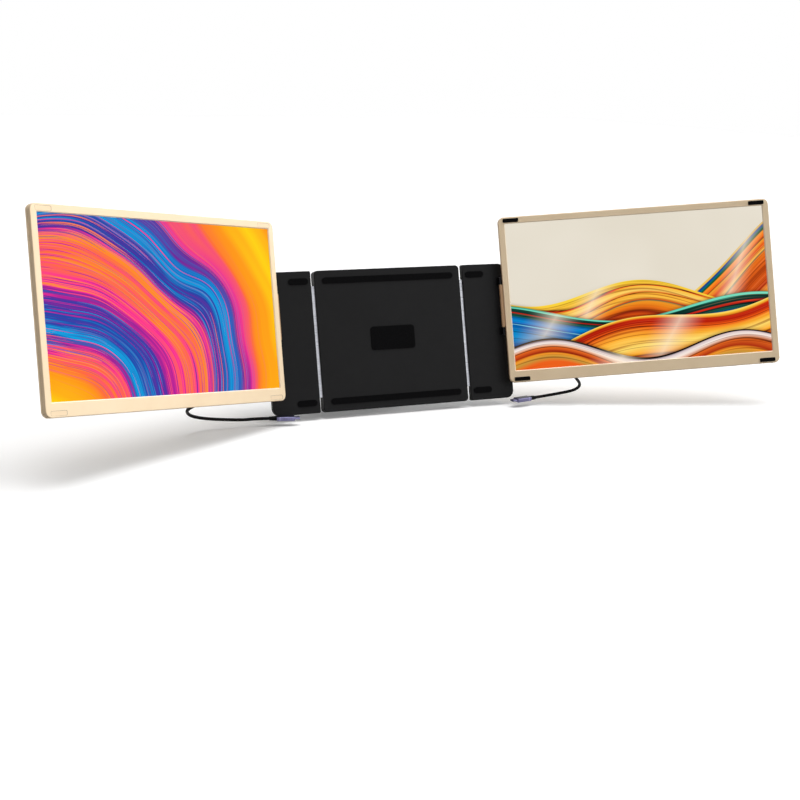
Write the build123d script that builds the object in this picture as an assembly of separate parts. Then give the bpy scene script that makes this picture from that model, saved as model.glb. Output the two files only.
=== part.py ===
"""Laptop screen extender: a telescoping bracket that sits behind a laptop's lid and
carries one 15.6 inch screen on each side.

Everything is modelled upright first: X to the right, Y away from the user, Z up along
the lid, with the origin in the middle of the lid pad's face. The last step leans the
whole stand back. Lengths are in millimetres and angles in degrees.
"""
import os
from math import acos, cos, pi, radians, sin, tan

from build123d import *

# ------------------------------------------------------------ driving dimensions: stand
LEAN = 14.7                  # how far the lid and the stand lean back from vertical
LID_FOOT = 98.75             # from the table to the origin, measured along the lid
LEFT_OPEN = 31.0             # left screen swung forward from the line of the bracket
RIGHT_OPEN = 19.5            # right screen swung forward from the line of the bracket
STAND_HEIGHT = 178.3         # height of the core and of both arms
RUN_GAP = 0.15               # clearance of a sliding face
FIT_GAP = 0.05               # radial clearance of a pin in its bore

# ------------------------------------------------------------ driving dimensions: core
CORE_WIDTH = 200.0
CORE_DEPTH = 14.0            # front plate and rear cover together
CORE_CORNER = 5.0
PAD_THICKNESS = 1.0          # lid pads stand proud of the faces by this much
PLATE_THICKNESS = 2.2        # front plate
SHELL_WALL = 2.2             # rear cover's side walls
RECESS_DEPTH = 2.6           # pocket that the folded kickstand lies in
BACK_WALL = 3.7              # rear cover's back, before the pocket is cut
CORE_EDGE = 2.0              # rounding round the rear cover's back
LID_PAD_LENGTH = 60.0
LID_PAD_WIDTH = 30.0
LID_PAD_CORNER = 4.0
STRIP_WIDTH = 8.0
STRIP_INSET = 13.0           # from the top and bottom edges to a strip's middle
STRIP_MARGIN = 10.0          # from the core's side edges to a strip's end
EDGE_BREAK = 0.7             # chamfer round the outer edges of the black casings
GUIDE_HEIGHT = 3.0           # rails above and below the slide plates
RIB_INSET = 9.0              # from the guide rails to the ribs behind the slide plates
RIB_WIDTH = 3.0
MAGNET_RADIUS = 5.0
MAGNET_THICKNESS = 1.4
MAGNET_SPACING = 40.0

# ------------------------------------------------------------ driving dimensions: arms
ARM_DRAW = 4.5               # gap between the core and an arm, as it stands
ARM_REACH = 51.3             # arm's inner edge to the hinge axis
ARM_MARGIN = 10.6            # hinge axis to the arm's outer edge
ARM_DEPTH = 8.0
ARM_CORNER = 10.0
ARM_WALL = 2.0
COVER_THICKNESS = 1.6
ARM_INNER_CORNER = 2.0
SLIDE_THICKNESS = 2.0        # steel plate that carries an arm in the core
SLIDE_MARGIN = 19.15         # slide plate's edge below the top of the arm
SLIDE_CORNER = 3.0
SLIDE_REACH = 84.5           # slide plate inward of the arm
SLIDE_GRIP = 20.0            # slide plate held in the arm
SLIDE_SLOT_LENGTH = 56.0
SLIDE_SLOT_WIDTH = 18.0
SLIDE_SLOT_PLACE = 40.0
CLAMP_LENGTH = 12.0          # ribs on the arm cover that clamp the slide plate
CLAMP_WIDTH = 16.0
CLAMP_PLACE = 45.0
ARM_STRIP_LENGTH = 26.0
STRIP_INLET = 4.0            # from an arm's inner edge to its rubber strips
TRAVEL_OUT = 50.0
TRAVEL_IN = 4.0

# ------------------------------------------------------------ driving dimensions: gearing
MODULE = 1.0
TEETH = 18
PRESSURE_ANGLE = 20.0
BACKLASH = 0.2
FLANK_STEPS = 2              # chords that make up a tooth's flank
RACK_THICKNESS = 4.0
RACK_BACK = 6.0              # rack body behind the pitch line
RACK_END = 2.0               # rack's outer end inside the core's edge
RACK_SPARE = 15.0            # rack beyond the travel, at its free end
AXLE_RADIUS = 3.0
AXLE_SEAT = 1.0              # depth of the axle's seat in the front plate
AXLE_COLLAR = 2.0            # collar and boss round the axle

# ------------------------------------------------------------ driving dimensions: screws
SCREW_HEAD_RADIUS = 2.6
SCREW_HEAD_DEPTH = 1.6
BOSS_RADIUS = 3.6
SCREW_SIDE = 12.0            # from the core's side edge to its screws
SCREW_TOP = 9.15             # from the top or bottom edge to the screws
ARM_SCREW_SIDE = 8.0         # from an arm's side edges to its screws
ARM_HEAD_RADIUS = 2.0
ARM_BOSS_RADIUS = 3.0
SCREEN_BOSS_RADIUS = 2.4
SCREEN_BOSS_INSET = 26.0     # from a screen's side edge to its screws
SCREEN_BOSS_GAP = 0.3        # between a screw's boss and the panel
SCREW_SEAT = 1.0             # depth of a screw's seat in a screen's back

# ------------------------------------------------------------ driving dimensions: hinges
KNUCKLE_RADIUS = 2.2         # barrel on the screen
LUG_RADIUS = 1.9             # lugs on the arm
LUG_HEIGHT = 9.0
HINGE_PIN_RADIUS = 1.2
DISC_THICKNESS = 0.8
DISC_GAP = 0.1               # running gap between a friction disc and the barrel
KNUCKLE_BOTTOM = 4.75
KNUCKLE_HEIGHT = 55.0
LEAF_INNER = 21.8            # hinge leaf inward of the axis
LEAF_OUTER = 6.2             # hinge leaf outward of the axis
LEAF_MARGIN = 4.0            # hinge leaf above and below its lugs
LEAF_CORNER = 3.0
PIN_TAIL = 0.6
PIN_HEAD = 0.6
EDGE_GAP = 2.4               # hinge axis to the inner edge of the screen
FOLD_GAP = 1.0               # a folded screen stops this far from what lies behind it
STACK_GAP = 1.0              # between the two screens when both are folded
WEB_DEPTH = 3.0              # the barrel's web inside the casing's wall
HINGE_PLATE_REACH = 39.4     # hinge plate's end from the screen's inner edge
HINGE_PLATE_THICKNESS = 1.6

# ------------------------------------------------------------ driving dimensions: screens
DISPLAY_WIDTH = 344.2        # a 15.6 inch 16:9 panel
DISPLAY_HEIGHT = 193.6
BEZEL_SIDE = 8.8
BEZEL_TOP = 8.8
BEZEL_BOTTOM = 16.0
SCREEN_DEPTH = 9.0
SCREEN_BOTTOM = -70.25       # lower edge from the origin, along the lid
SCREEN_CORNER = 7.5
BEZEL_SKIN = 1.4
SIDE_WALL = 1.4
COVER_SKIN = 1.3
PANEL_THICKNESS = 2.4
PANEL_LAP = 2.0              # panel behind the bezel's window, all round
FRONT_EDGE = 1.0             # rounding of the bezel's outer edge
WINDOW_BEVEL = 1.0           # bevel round the window
REAR_EDGE = 2.2              # rounding of the rear cover's outer edge
CORNER_PAD_LENGTH = 20.6
CORNER_PAD_WIDTH = 5.0
CORNER_PAD_CORNER = 1.2
CORNER_PAD_GAP = 0.05        # round a pad in its pocket
CORNER_PAD_INSET = 6.3       # from the side edge to the pad's end
CORNER_PAD_CENTRE = 4.6      # from the top or bottom edge to the pad's middle
CORNER_PAD_PROUD = 1.2       # rubber pads of the right screen
CORNER_PAD_POCKET = 0.7
CORNER_PAD_BREAK = 0.3
PANEL_RIB_INSET = 26.0        # from the window's edges to the ribs behind the panel
PANEL_RIB_WIDTH = 2.0
BOARD_INSET = 4.4            # driver board from the screen's inner edge
BOARD_BOTTOM = -53.0
BOARD_TOP = 0.0
BOARD_LEVEL = -0.5           # front face of the board, behind the hinge plane
BOARD_THICKNESS = 0.8
BOARD_GAP = 0.3              # between the board and the port pocket
# chips: across and up from the board's lower inner corner, size and height
BOARD_CHIPS = [(9.0, 23.0, 9.0, 1.2), (4.0, 39.0, 6.0, 1.0), (18.0, 41.0, 7.0, 1.4)]

# ------------------------------------------------------------ driving dimensions: keys
KEY_LENGTH = 12.0
KEY_WIDTH = 2.6
KEY_PROUD = 0.5
KEY_FLANGE = 1.0             # flange around the key, behind the wall
KEY_DEPTH = 2.6              # flange thickness
KEY_DROPS = {"power": 27.15, "menu": 45.15}              # below the screen's top edge
KEY_LEVEL = 0.4              # key's middle behind the hinge plane
KEY_GAP = 0.1                # clearance of a key in its slot
KEY_EDGE = 0.3               # chamfer of a key's edges
KEY_LEDGE = 0.5              # flange above and below the key

# ------------------------------------------------------------ driving dimensions: ports and leads
PORT_REACH = 40.4            # port mouths from the screen's inner edge
PORT_LEVEL = 2.65            # ports behind the hinge plane
PORT_WIDTH = 9.0
PORT_THICKNESS = 3.0
PORT_DEPTH = 7.4
PORT_HEIGHTS = [-41.0, -55.0]
PORT_WALL = 0.2              # receptacle's shell
PORT_BACK = 0.6              # receptacle's closed end
BLADE_WIDTH = 6.4            # tongue inside a receptacle
BLADE_THICKNESS = 0.6
POCKET_LENGTH = 55.0         # flat part of the port pocket
POCKET_RAMP = 14.0
POCKET_FLOOR = 0.6
POCKET_MARGIN = 8.0          # pocket above and below the middles of the ports
PLUG_LENGTH = 22.0
PLUG_WIDTH = 11.6
PLUG_THICKNESS = 5.4
PLUG_CORNER = 1.4
PLUG_EDGE = 0.5              # chamfer of the plug's back edge
TONGUE_LENGTH = 6.5
TONGUE_WIDTH = 8.3
TONGUE_THICKNESS = 2.4
TONGUE_CORNER = 1.1
TONGUE_MOUTH_WIDTH = 6.8
TONGUE_MOUTH_THICKNESS = 1.0
TONGUE_FLOOR = 0.4
BOOT_LENGTH = 9.0
BOOT_WIDTH = 8.4             # boot where it leaves the plug
BOOT_THICKNESS = 5.2
BOOT_TAPER = 0.8             # boot's narrow end against its wide end
BOOT_CORNER = 1.8
CABLE_DIAMETER = 4.0
PLUG_LEVEL = 9.2             # laptop's ports above the table
# plugs at the laptop: where they meet its ports, and their heading in the table's plane
LAPTOP_PLUGS = {"left": (-144.0, -35.3, 166.6), "right": (161.0, -37.5, 10.0)}
LEAD_RUNS = {"left": (14.0, 24.5), "right": (20.0, 20.0)}    # straight run out of each boot
# corners between the two straight runs, from the laptop to the screen
LEAD_POINTS = {
    "left": [(-212.0, -24.5, -86.5), (-267.5, -26.5, -79.0),
             (-284.5, -47.0, -63.5), (-273.0, -68.0, -51.0)],
    "right": [(253.5, -56.0, -73.0), (260.0, -5.5, -62.5),
              (275.0, -14.0, -29.5), (265.0, -32.5, -18.0)],
}
BEND_SHARE = 0.45            # share of the shorter run that a bend takes

# ------------------------------------------------------------ driving dimensions: kickstand
KICK_AXIS_Z = 18.0
KICK_AXIS_PROUD = 1.6        # axis behind the rear cover's face
KICK_OPEN = 40.0             # as it stands
KICK_WIDTH = 120.0
KICK_THICKNESS = 2.4
KICK_BARREL_RADIUS = 3.4
KICK_BARREL_LENGTH = 79.0
KICK_PIN_RADIUS = 1.5
KICK_LUG_LENGTH = 8.0
KICK_FOOT_RADIUS = 2.4
KICK_CORNER = 8.0
KICK_GAP = 0.1               # folded kickstand below the core's back face
KICK_SIDE_GAP = 1.5          # between the kickstand and the sides of its pocket
KICK_SHOULDER = 2.6          # plate's top edge below its barrel
FINGER_LENGTH = 64.0
FINGER_WIDTH = 22.0
FINGER_PLACE = 36.0          # finger slot's middle above the foot

# ------------------------------------------------------------ sizes that follow
HALF_HEIGHT = STAND_HEIGHT / 2
HALF_CORE = CORE_WIDTH / 2
AXIS_X = HALF_CORE + ARM_DRAW + ARM_REACH               # hinge axis from the middle
FACE_Y = PAD_THICKNESS                                  # front faces of core and arms
CORE_BACK_Y = FACE_Y + CORE_DEPTH
SLIDE_Y = FACE_Y + PLATE_THICKNESS + RUN_GAP            # front of the slide plates
RACK_Y = SLIDE_Y + SLIDE_THICKNESS
ARM_IN = HALF_CORE + ARM_DRAW
ARM_OUT = AXIS_X + ARM_MARGIN
ARM_BACK_Y = FACE_Y + ARM_DEPTH
SLIDE_HALF_HEIGHT = HALF_HEIGHT - SLIDE_MARGIN
SLIDE_INNER = ARM_IN - SLIDE_REACH
PITCH_RADIUS = MODULE * TEETH / 2
HALF_SCREEN = SCREEN_DEPTH / 2
RIGHT_AXIS_Y = FACE_Y - FOLD_GAP - CORNER_PAD_PROUD - HALF_SCREEN
LEFT_AXIS_Y = RIGHT_AXIS_Y - SCREEN_DEPTH - STACK_GAP
SCREEN_WIDTH = DISPLAY_WIDTH + 2 * BEZEL_SIDE
SCREEN_HEIGHT = DISPLAY_HEIGHT + BEZEL_TOP + BEZEL_BOTTOM
SCREEN_TOP = SCREEN_BOTTOM + SCREEN_HEIGHT
SCREEN_END = EDGE_GAP + SCREEN_WIDTH
PANEL_FRONT = -HALF_SCREEN + BEZEL_SKIN
PANEL_BACK = PANEL_FRONT + PANEL_THICKNESS
COVER_INNER = HALF_SCREEN - COVER_SKIN
KICK_AXIS_Y = CORE_BACK_Y + KICK_AXIS_PROUD
CORE_INNER_Y = CORE_BACK_Y - BACK_WALL                  # inside of the rear cover's back
CORE_SCREW_X = HALF_CORE - SCREW_SIDE
CORE_SCREW_Z = HALF_HEIGHT - SCREW_TOP
CORE_SCREWS = [(x, z) for x in (-CORE_SCREW_X, CORE_SCREW_X) for z in (-CORE_SCREW_Z, CORE_SCREW_Z)]
MAGNET_PLACES = [(-MAGNET_SPACING / 2, 0), (MAGNET_SPACING / 2, 0)]
ARM_SCREW_X = (ARM_IN + ARM_SCREW_SIDE, ARM_OUT - ARM_SCREW_SIDE)
ARM_SCREWS = [(x, z) for x in ARM_SCREW_X for z in (-CORE_SCREW_Z, CORE_SCREW_Z)]
ARM_COVER_Y = ARM_BACK_Y - COVER_THICKNESS
LEAF_IN = AXIS_X - LEAF_INNER
LEAF_OUT = AXIS_X + LEAF_OUTER
KNUCKLE_TOP = KNUCKLE_BOTTOM + KNUCKLE_HEIGHT
LOW_LUG = KNUCKLE_BOTTOM - DISC_GAP - DISC_THICKNESS    # top of the lower lug
HIGH_LUG = KNUCKLE_TOP + DISC_GAP + DISC_THICKNESS      # bottom of the upper lug
LUG_SPANS = [(LOW_LUG - LUG_HEIGHT, LOW_LUG), (HIGH_LUG, HIGH_LUG + LUG_HEIGHT)]
WEB_IN = EDGE_GAP + SIDE_WALL + RUN_GAP
WEB_OUT = WEB_IN + WEB_DEPTH
HINGE_PLATE_END = EDGE_GAP + HINGE_PLATE_REACH
PORT_FACE = EDGE_GAP + PORT_REACH                       # port mouths from the hinge axis
POCKET_END = PORT_FACE + POCKET_LENGTH
POCKET_TOP = PORT_HEIGHTS[0] + POCKET_MARGIN
POCKET_BOTTOM = PORT_HEIGHTS[-1] - POCKET_MARGIN
BOARD_START = EDGE_GAP + BOARD_INSET
KEY_PLACES = {name: SCREEN_TOP - drop for name, drop in KEY_DROPS.items()}
# the bezel's window: its inner, outer, lower and upper edges
WINDOW = (EDGE_GAP + BEZEL_SIDE, SCREEN_END - BEZEL_SIDE,
          SCREEN_BOTTOM + BEZEL_BOTTOM, SCREEN_TOP - BEZEL_TOP)
SCREW_OUTSET = PANEL_LAP + SCREEN_BOSS_GAP + SCREEN_BOSS_RADIUS
SCREW_ROWS = (WINDOW[2] - SCREW_OUTSET, WINDOW[3] + SCREW_OUTSET)
SCREW_COLUMNS = (EDGE_GAP + SCREEN_BOSS_INSET, SCREEN_END - SCREEN_BOSS_INSET)
SCREEN_SCREWS = [(x, z) for x in SCREW_COLUMNS for z in SCREW_ROWS]
PANEL_RIBS = (POCKET_END + POCKET_RAMP + PANEL_RIB_INSET, WINDOW[1] - PANEL_RIB_INSET)
TABLE = -LID_FOOT * cos(radians(LEAN))


# ------------------------------------------------------------ helpers
def slab(x_low, x_high, y_low, y_high, z_low, z_high):
    """Box between two corners."""
    size = (x_high - x_low, y_high - y_low, z_high - z_low)
    middle = ((x_low + x_high) / 2, (y_low + y_high) / 2, (z_low + z_high) / 2)
    return Pos(*middle) * Box(*size)


def panel(sketch, y_low, y_high):
    """A flat outline in X and Z, made solid from y_low back to y_high."""
    face_plane = Plane(origin=(0, y_high, 0), x_dir=(1, 0, 0), z_dir=(0, -1, 0))
    return extrude(face_plane * sketch, amount=y_high - y_low)


def rod(radius, start, end):
    """Round bar between two points."""
    line = Edge.make_line(start, end)
    return sweep(Plane(origin=start, z_dir=line % 0) * Circle(radius), path=line)


def rounded(x_low, x_high, z_low, z_high, corner):
    """Rounded rectangle between two corners, as a sketch in X and Z."""
    outline = RectangleRounded(x_high - x_low, z_high - z_low, corner)
    return Pos((x_low + x_high) / 2, (z_low + z_high) / 2) * outline


def edges_at(shape, axis, place, tolerance=0.01):
    """Edges that lie wholly in the plane at this place along the axis."""
    return shape.edges().filter_by_position(axis, place - tolerance, place + tolerance)


def group(solids):
    """Separate pieces kept in one node."""
    loose = []
    for solid in solids:
        loose.extend(solid.solids())
    return Compound(loose)


def lean_back(shape):
    """Turn the upright model about the origin to the angle of the lid."""
    return Rot(X=-LEAN) * shape


def place_screen(shape, side):
    """Put a screen piece, modelled with the hinge axis at the origin, on its hinge."""
    if side == "left":
        turned = Rot(Z=LEFT_OPEN) * mirror(shape, about=Plane.YZ)
        return lean_back(Pos(-AXIS_X, LEFT_AXIS_Y, 0) * turned)
    turned = Rot(Z=-RIGHT_OPEN) * shape
    return lean_back(Pos(AXIS_X, RIGHT_AXIS_Y, 0) * turned)


def place_arm(shape, side):
    """Put an arm piece, modelled on the right, on its side of the core."""
    return lean_back(mirror(shape, about=Plane.YZ) if side == "left" else shape)


def axis_y(side):
    return LEFT_AXIS_Y if side == "left" else RIGHT_AXIS_Y


# ------------------------------------------------------------ core
def front_plate():
    """Flat front of the core, with screw bosses and the pinion's seat."""
    plate_back = FACE_Y + PLATE_THICKNESS
    plate = panel(RectangleRounded(CORE_WIDTH, STAND_HEIGHT, CORE_CORNER), FACE_Y, plate_back)
    plate = chamfer(edges_at(plate, Axis.Y, FACE_Y), EDGE_BREAK)
    for x, z in CORE_SCREWS:
        plate += rod(BOSS_RADIUS, (x, plate_back, z), (x, CORE_INNER_Y, z))
    plate -= rod(AXLE_RADIUS, (0, plate_back - AXLE_SEAT, 0), (0, plate_back, 0))
    for x, z in MAGNET_PLACES:
        plate -= rod(MAGNET_RADIUS, (x, FACE_Y, z), (x, FACE_Y + MAGNET_THICKNESS, z))
    return plate


def core_cover():
    """Rear cover: side walls, guide rails for the slide plates and the kickstand's pocket."""
    front = FACE_Y + PLATE_THICKNESS
    cover = panel(RectangleRounded(CORE_WIDTH, STAND_HEIGHT, CORE_CORNER), front, CORE_BACK_Y)
    cover = fillet(edges_at(cover, Axis.Y, CORE_BACK_Y), CORE_EDGE)
    hollow_width = CORE_WIDTH - 2 * SHELL_WALL
    hollow_height = STAND_HEIGHT - 2 * SHELL_WALL
    hollow = RectangleRounded(hollow_width, hollow_height, CORE_CORNER - SHELL_WALL)
    cover -= panel(hollow, front, CORE_INNER_Y)
    cover = guide_rails(cover, hollow_width / 2)
    boss = AXLE_RADIUS + AXLE_COLLAR
    cover += rod(boss, (0, RACK_Y + RACK_THICKNESS + RUN_GAP, 0), (0, CORE_INNER_Y, 0))
    cover -= rod(AXLE_RADIUS + FIT_GAP, (0, front, 0), (0, CORE_INNER_Y, 0))
    for x, z in CORE_SCREWS:
        cover -= rod(BOSS_RADIUS + FIT_GAP, (x, front, z), (x, CORE_INNER_Y, z))
        cover -= rod(SCREW_HEAD_RADIUS, (x, CORE_BACK_Y - SCREW_HEAD_DEPTH, z), (x, CORE_BACK_Y, z))
    return kickstand_lugs(cover - kickstand_pocket())


def guide_rails(cover, half_hollow):
    """Cut the slots that the arms slide through, and add the rails and ribs that guide them."""
    front = FACE_Y + PLATE_THICKNESS
    guide = SLIDE_HALF_HEIGHT + RUN_GAP
    cover -= slab(-HALF_CORE, HALF_CORE, front, RACK_Y + RUN_GAP, -guide, guide)
    window_back = RACK_Y + RACK_THICKNESS + 2 * RUN_GAP
    window = (PITCH_RADIUS - MODULE - 2 * RUN_GAP, PITCH_RADIUS + RACK_BACK + 2 * RUN_GAP)
    for side in (-1, 1):
        ends = sorted((side * half_hollow, side * HALF_CORE))
        cover -= slab(*ends, front, window_back, *sorted((-side * window[0], -side * window[1])))
        rail = sorted((side * guide, side * (guide + GUIDE_HEIGHT)))
        cover += slab(-half_hollow, half_hollow, front, CORE_INNER_Y, *rail)
        rib = sorted((side * (guide - RIB_INSET), side * (guide - RIB_INSET - RIB_WIDTH)))
        cover += slab(-half_hollow, half_hollow, RACK_Y + RUN_GAP, CORE_INNER_Y, *rib)
    return cover


def kickstand_pocket():
    """Pocket in the core's back, open at the bottom, a little wider than the kickstand."""
    half_width = KICK_WIDTH / 2 + KICK_SIDE_GAP
    top = KICK_AXIS_Z + KICK_BARREL_RADIUS + KICK_SIDE_GAP
    outline = rounded(-half_width, half_width, -HALF_HEIGHT - 2 * KICK_CORNER, top, KICK_CORNER)
    return panel(outline, CORE_BACK_Y - RECESS_DEPTH, CORE_BACK_Y + KICK_CORNER)


def kickstand_lugs(cover):
    """Add the two lugs that hold the kickstand's pin."""
    inner = KICK_BARREL_LENGTH / 2 + DISC_GAP + DISC_THICKNESS
    outer = inner + KICK_LUG_LENGTH
    floor = CORE_BACK_Y - RECESS_DEPTH
    radius = KICK_BARREL_RADIUS
    for side in (-1, 1):
        ends = sorted((side * inner, side * outer))
        cover += slab(*ends, floor, KICK_AXIS_Y, KICK_AXIS_Z - radius, KICK_AXIS_Z + radius)
        cover += rod(radius, (ends[0], KICK_AXIS_Y, KICK_AXIS_Z), (ends[1], KICK_AXIS_Y, KICK_AXIS_Z))
    bore = KICK_PIN_RADIUS + FIT_GAP
    cover -= rod(bore, (-outer, KICK_AXIS_Y, KICK_AXIS_Z), (outer, KICK_AXIS_Y, KICK_AXIS_Z))
    return cover


def lid_pads():
    """Rubber pads on the core's face: one in the middle and a strip near each edge."""
    pads = [panel(RectangleRounded(LID_PAD_LENGTH, LID_PAD_WIDTH, LID_PAD_CORNER), 0, FACE_Y)]
    strip = SlotOverall(CORE_WIDTH - 2 * STRIP_MARGIN, STRIP_WIDTH)
    for side in (-1, 1):
        place = side * (HALF_HEIGHT - STRIP_INSET)
        pads.append(panel(Pos(0, place) * strip, 0, FACE_Y))
    return group(pads)


def lid_magnets():
    """Magnet discs let into the front plate behind the middle pad."""
    ends = (FACE_Y, FACE_Y + MAGNET_THICKNESS)
    return group([rod(MAGNET_RADIUS, (x, ends[0], z), (x, ends[1], z)) for x, z in MAGNET_PLACES])


# ------------------------------------------------------------ rack and pinion
def involute(angle):
    return tan(angle) - angle


def pinion():
    """Spur gear between the two racks, with involute flanks."""
    base = PITCH_RADIUS * cos(radians(PRESSURE_ANGLE))
    root = PITCH_RADIUS - 1.25 * MODULE
    tip = PITCH_RADIUS + MODULE
    half_at_pitch = pi / (2 * TEETH) - BACKLASH / (4 * PITCH_RADIUS)
    start = half_at_pitch + involute(radians(PRESSURE_ANGLE))
    flank = [(root, start)]
    for step in range(FLANK_STEPS + 1):
        radius = base + (tip - base) * step / FLANK_STEPS
        flank.append((radius, start - involute(acos(base / radius))))
    points = []
    for tooth in range(TEETH):
        middle = pi / 2 + 2 * pi * tooth / TEETH
        points += [(r * cos(middle - a), r * sin(middle - a)) for r, a in flank]
        points += [(r * cos(middle + a), r * sin(middle + a)) for r, a in reversed(flank)]
    outline = make_face(Polyline(*points, close=True))
    wheel = panel(outline, RACK_Y + 2 * RUN_GAP, RACK_Y + RACK_THICKNESS - RUN_GAP)
    return wheel - rod(AXLE_RADIUS + FIT_GAP, (0, RACK_Y, 0), (0, CORE_BACK_Y, 0))


def pinion_axle():
    """Pin between the front plate and the rear cover."""
    plate_back = FACE_Y + PLATE_THICKNESS
    collar = rod(AXLE_RADIUS + AXLE_COLLAR, (0, plate_back, 0), (0, RACK_Y + RUN_GAP, 0))
    return rod(AXLE_RADIUS, (0, plate_back - AXLE_SEAT, 0), (0, CORE_INNER_Y, 0)) + collar


def rack():
    """Toothed bar of the right arm: it runs under the pinion and past it to the left."""
    pitch = pi * MODULE
    slope = tan(radians(PRESSURE_ANGLE))
    half_tooth = pitch / 4 - BACKLASH / 4
    tip = -PITCH_RADIUS + MODULE
    root = -PITCH_RADIUS - 1.25 * MODULE
    back = -PITCH_RADIUS - RACK_BACK
    first = -round((TRAVEL_OUT + RACK_SPARE) / pitch) + 0.5
    count = round((TRAVEL_OUT + TRAVEL_IN + 2 * RACK_SPARE) / pitch)
    low_end = (first - 1) * pitch
    points = [(low_end, back), (low_end, root)]
    for tooth in range(count):
        middle = (first + tooth) * pitch
        at_root = half_tooth + 1.25 * MODULE * slope
        at_tip = half_tooth - MODULE * slope
        points += [(middle - at_root, root), (middle - at_tip, tip)]
        points += [(middle + at_tip, tip), (middle + at_root, root)]
    high_end = HALF_CORE - RACK_END
    points += [(high_end, root), (high_end, back)]
    bar = panel(make_face(Polyline(*points, close=True)), RACK_Y, RACK_Y + RACK_THICKNESS)
    # the free end runs clear of the other arm's slide plate
    return bar - slab(low_end, SLIDE_INNER, RACK_Y, RACK_Y + RUN_GAP, back, 0)


# ------------------------------------------------------------ arms
def arm_outline(inset=0.0):
    """Outline of an arm: small inner corners and large outer ones."""
    x_low, x_high = ARM_IN + inset, ARM_OUT - inset
    half = HALF_HEIGHT - inset
    outer = ARM_CORNER - inset
    outline = rounded(x_low, x_high, -half, half, outer)
    return outline + rounded(x_low, x_high - outer, -half, half, ARM_INNER_CORNER)


def arm_shell():
    """Front of an arm: a shallow tray that holds the slide plate and the hinge leaf."""
    shell = panel(arm_outline(), FACE_Y, ARM_COVER_Y)
    shell = chamfer(edges_at(shell, Axis.Y, FACE_Y), EDGE_BREAK)
    shell -= panel(arm_outline(ARM_WALL), SLIDE_Y, ARM_COVER_Y)
    half = SLIDE_HALF_HEIGHT + RUN_GAP
    shell -= slab(ARM_IN, ARM_IN + ARM_WALL, SLIDE_Y, RACK_Y + RUN_GAP, -half, half)
    for x, z in ARM_SCREWS:
        shell += rod(ARM_BOSS_RADIUS, (x, SLIDE_Y, z), (x, ARM_COVER_Y, z))
    web = LUG_RADIUS + RUN_GAP
    for low, high in LUG_SPANS:
        shell -= slab(AXIS_X - web, AXIS_X + web, FACE_Y, SLIDE_Y, low - RUN_GAP, high + RUN_GAP)
    return shell


def arm_cover():
    """Back of an arm, with ribs that clamp the slide plate and the leaf."""
    cover = panel(arm_outline(), ARM_COVER_Y, ARM_BACK_Y)
    cover = chamfer(edges_at(cover, Axis.Y, ARM_BACK_Y), EDGE_BREAK)
    grip = ARM_IN + SLIDE_GRIP
    leaf_middle = KNUCKLE_BOTTOM + KNUCKLE_HEIGHT / 2
    clamps = [(grip - CLAMP_LENGTH, grip, z) for z in (-CLAMP_PLACE, CLAMP_PLACE)]
    clamps += [(LEAF_IN + LEAF_CORNER, LEAF_OUT - LEAF_CORNER, leaf_middle)]
    for low, high, z in clamps:
        cover += slab(low, high, RACK_Y, ARM_COVER_Y, z - CLAMP_WIDTH / 2, z + CLAMP_WIDTH / 2)
    for x, z in ARM_SCREWS:
        cover -= rod(ARM_HEAD_RADIUS, (x, ARM_COVER_Y, z), (x, ARM_BACK_Y, z))
    return cover


def slide_plate():
    """Steel plate that telescopes into the core, lightened by two slots."""
    half = SLIDE_HALF_HEIGHT
    outline = rounded(SLIDE_INNER, ARM_IN + SLIDE_GRIP, -half, half, SLIDE_CORNER)
    for z in (-SLIDE_SLOT_PLACE, SLIDE_SLOT_PLACE):
        outline -= Pos((SLIDE_INNER + ARM_IN) / 2, z) * SlotOverall(SLIDE_SLOT_LENGTH, SLIDE_SLOT_WIDTH)
    return panel(outline, SLIDE_Y, RACK_Y)


def hinge_leaf(side):
    """Steel leaf inside the arm, whose two lugs come out through the arm's face."""
    low, high = LUG_SPANS[0][0] - LEAF_MARGIN, LUG_SPANS[1][1] + LEAF_MARGIN
    leaf = panel(rounded(LEAF_IN, LEAF_OUT, low, high, LEAF_CORNER), SLIDE_Y, RACK_Y)
    y = axis_y(side)
    for bottom, top in LUG_SPANS:
        leaf += slab(AXIS_X - LUG_RADIUS, AXIS_X + LUG_RADIUS, y, SLIDE_Y, bottom, top)
        leaf += rod(LUG_RADIUS, (AXIS_X, y, bottom), (AXIS_X, y, top))
    bore = HINGE_PIN_RADIUS + FIT_GAP
    leaf -= rod(bore, (AXIS_X, y, low), (AXIS_X, y, high))
    return leaf


def hinge_pin(side):
    """Steel pin through both lugs and the barrel, with a head at the top."""
    y = axis_y(side)
    bottom, top = LUG_SPANS[0][0] - PIN_TAIL, LUG_SPANS[1][1]
    pin = rod(HINGE_PIN_RADIUS, (AXIS_X, y, bottom), (AXIS_X, y, top))
    return pin + rod(HINGE_PIN_RADIUS + PIN_HEAD, (AXIS_X, y, top), (AXIS_X, y, top + PIN_HEAD))


def friction_discs(side):
    """Friction discs between the barrel and the lugs."""
    y = axis_y(side)
    bore = HINGE_PIN_RADIUS + FIT_GAP
    discs = []
    for low in (LOW_LUG, HIGH_LUG - DISC_THICKNESS):
        ends = ((AXIS_X, y, low), (AXIS_X, y, low + DISC_THICKNESS))
        discs.append(rod(LUG_RADIUS, *ends) - rod(bore, *ends))
    return group(discs)


def arm_pads():
    """Rubber strips on an arm's face where the lid's edge rests."""
    strip = SlotOverall(ARM_STRIP_LENGTH, STRIP_WIDTH)
    middle = ARM_IN + STRIP_INLET + ARM_STRIP_LENGTH / 2
    height = HALF_HEIGHT - STRIP_INSET
    return group([panel(Pos(middle, z) * strip, 0, FACE_Y) for z in (-height, height)])


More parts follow.
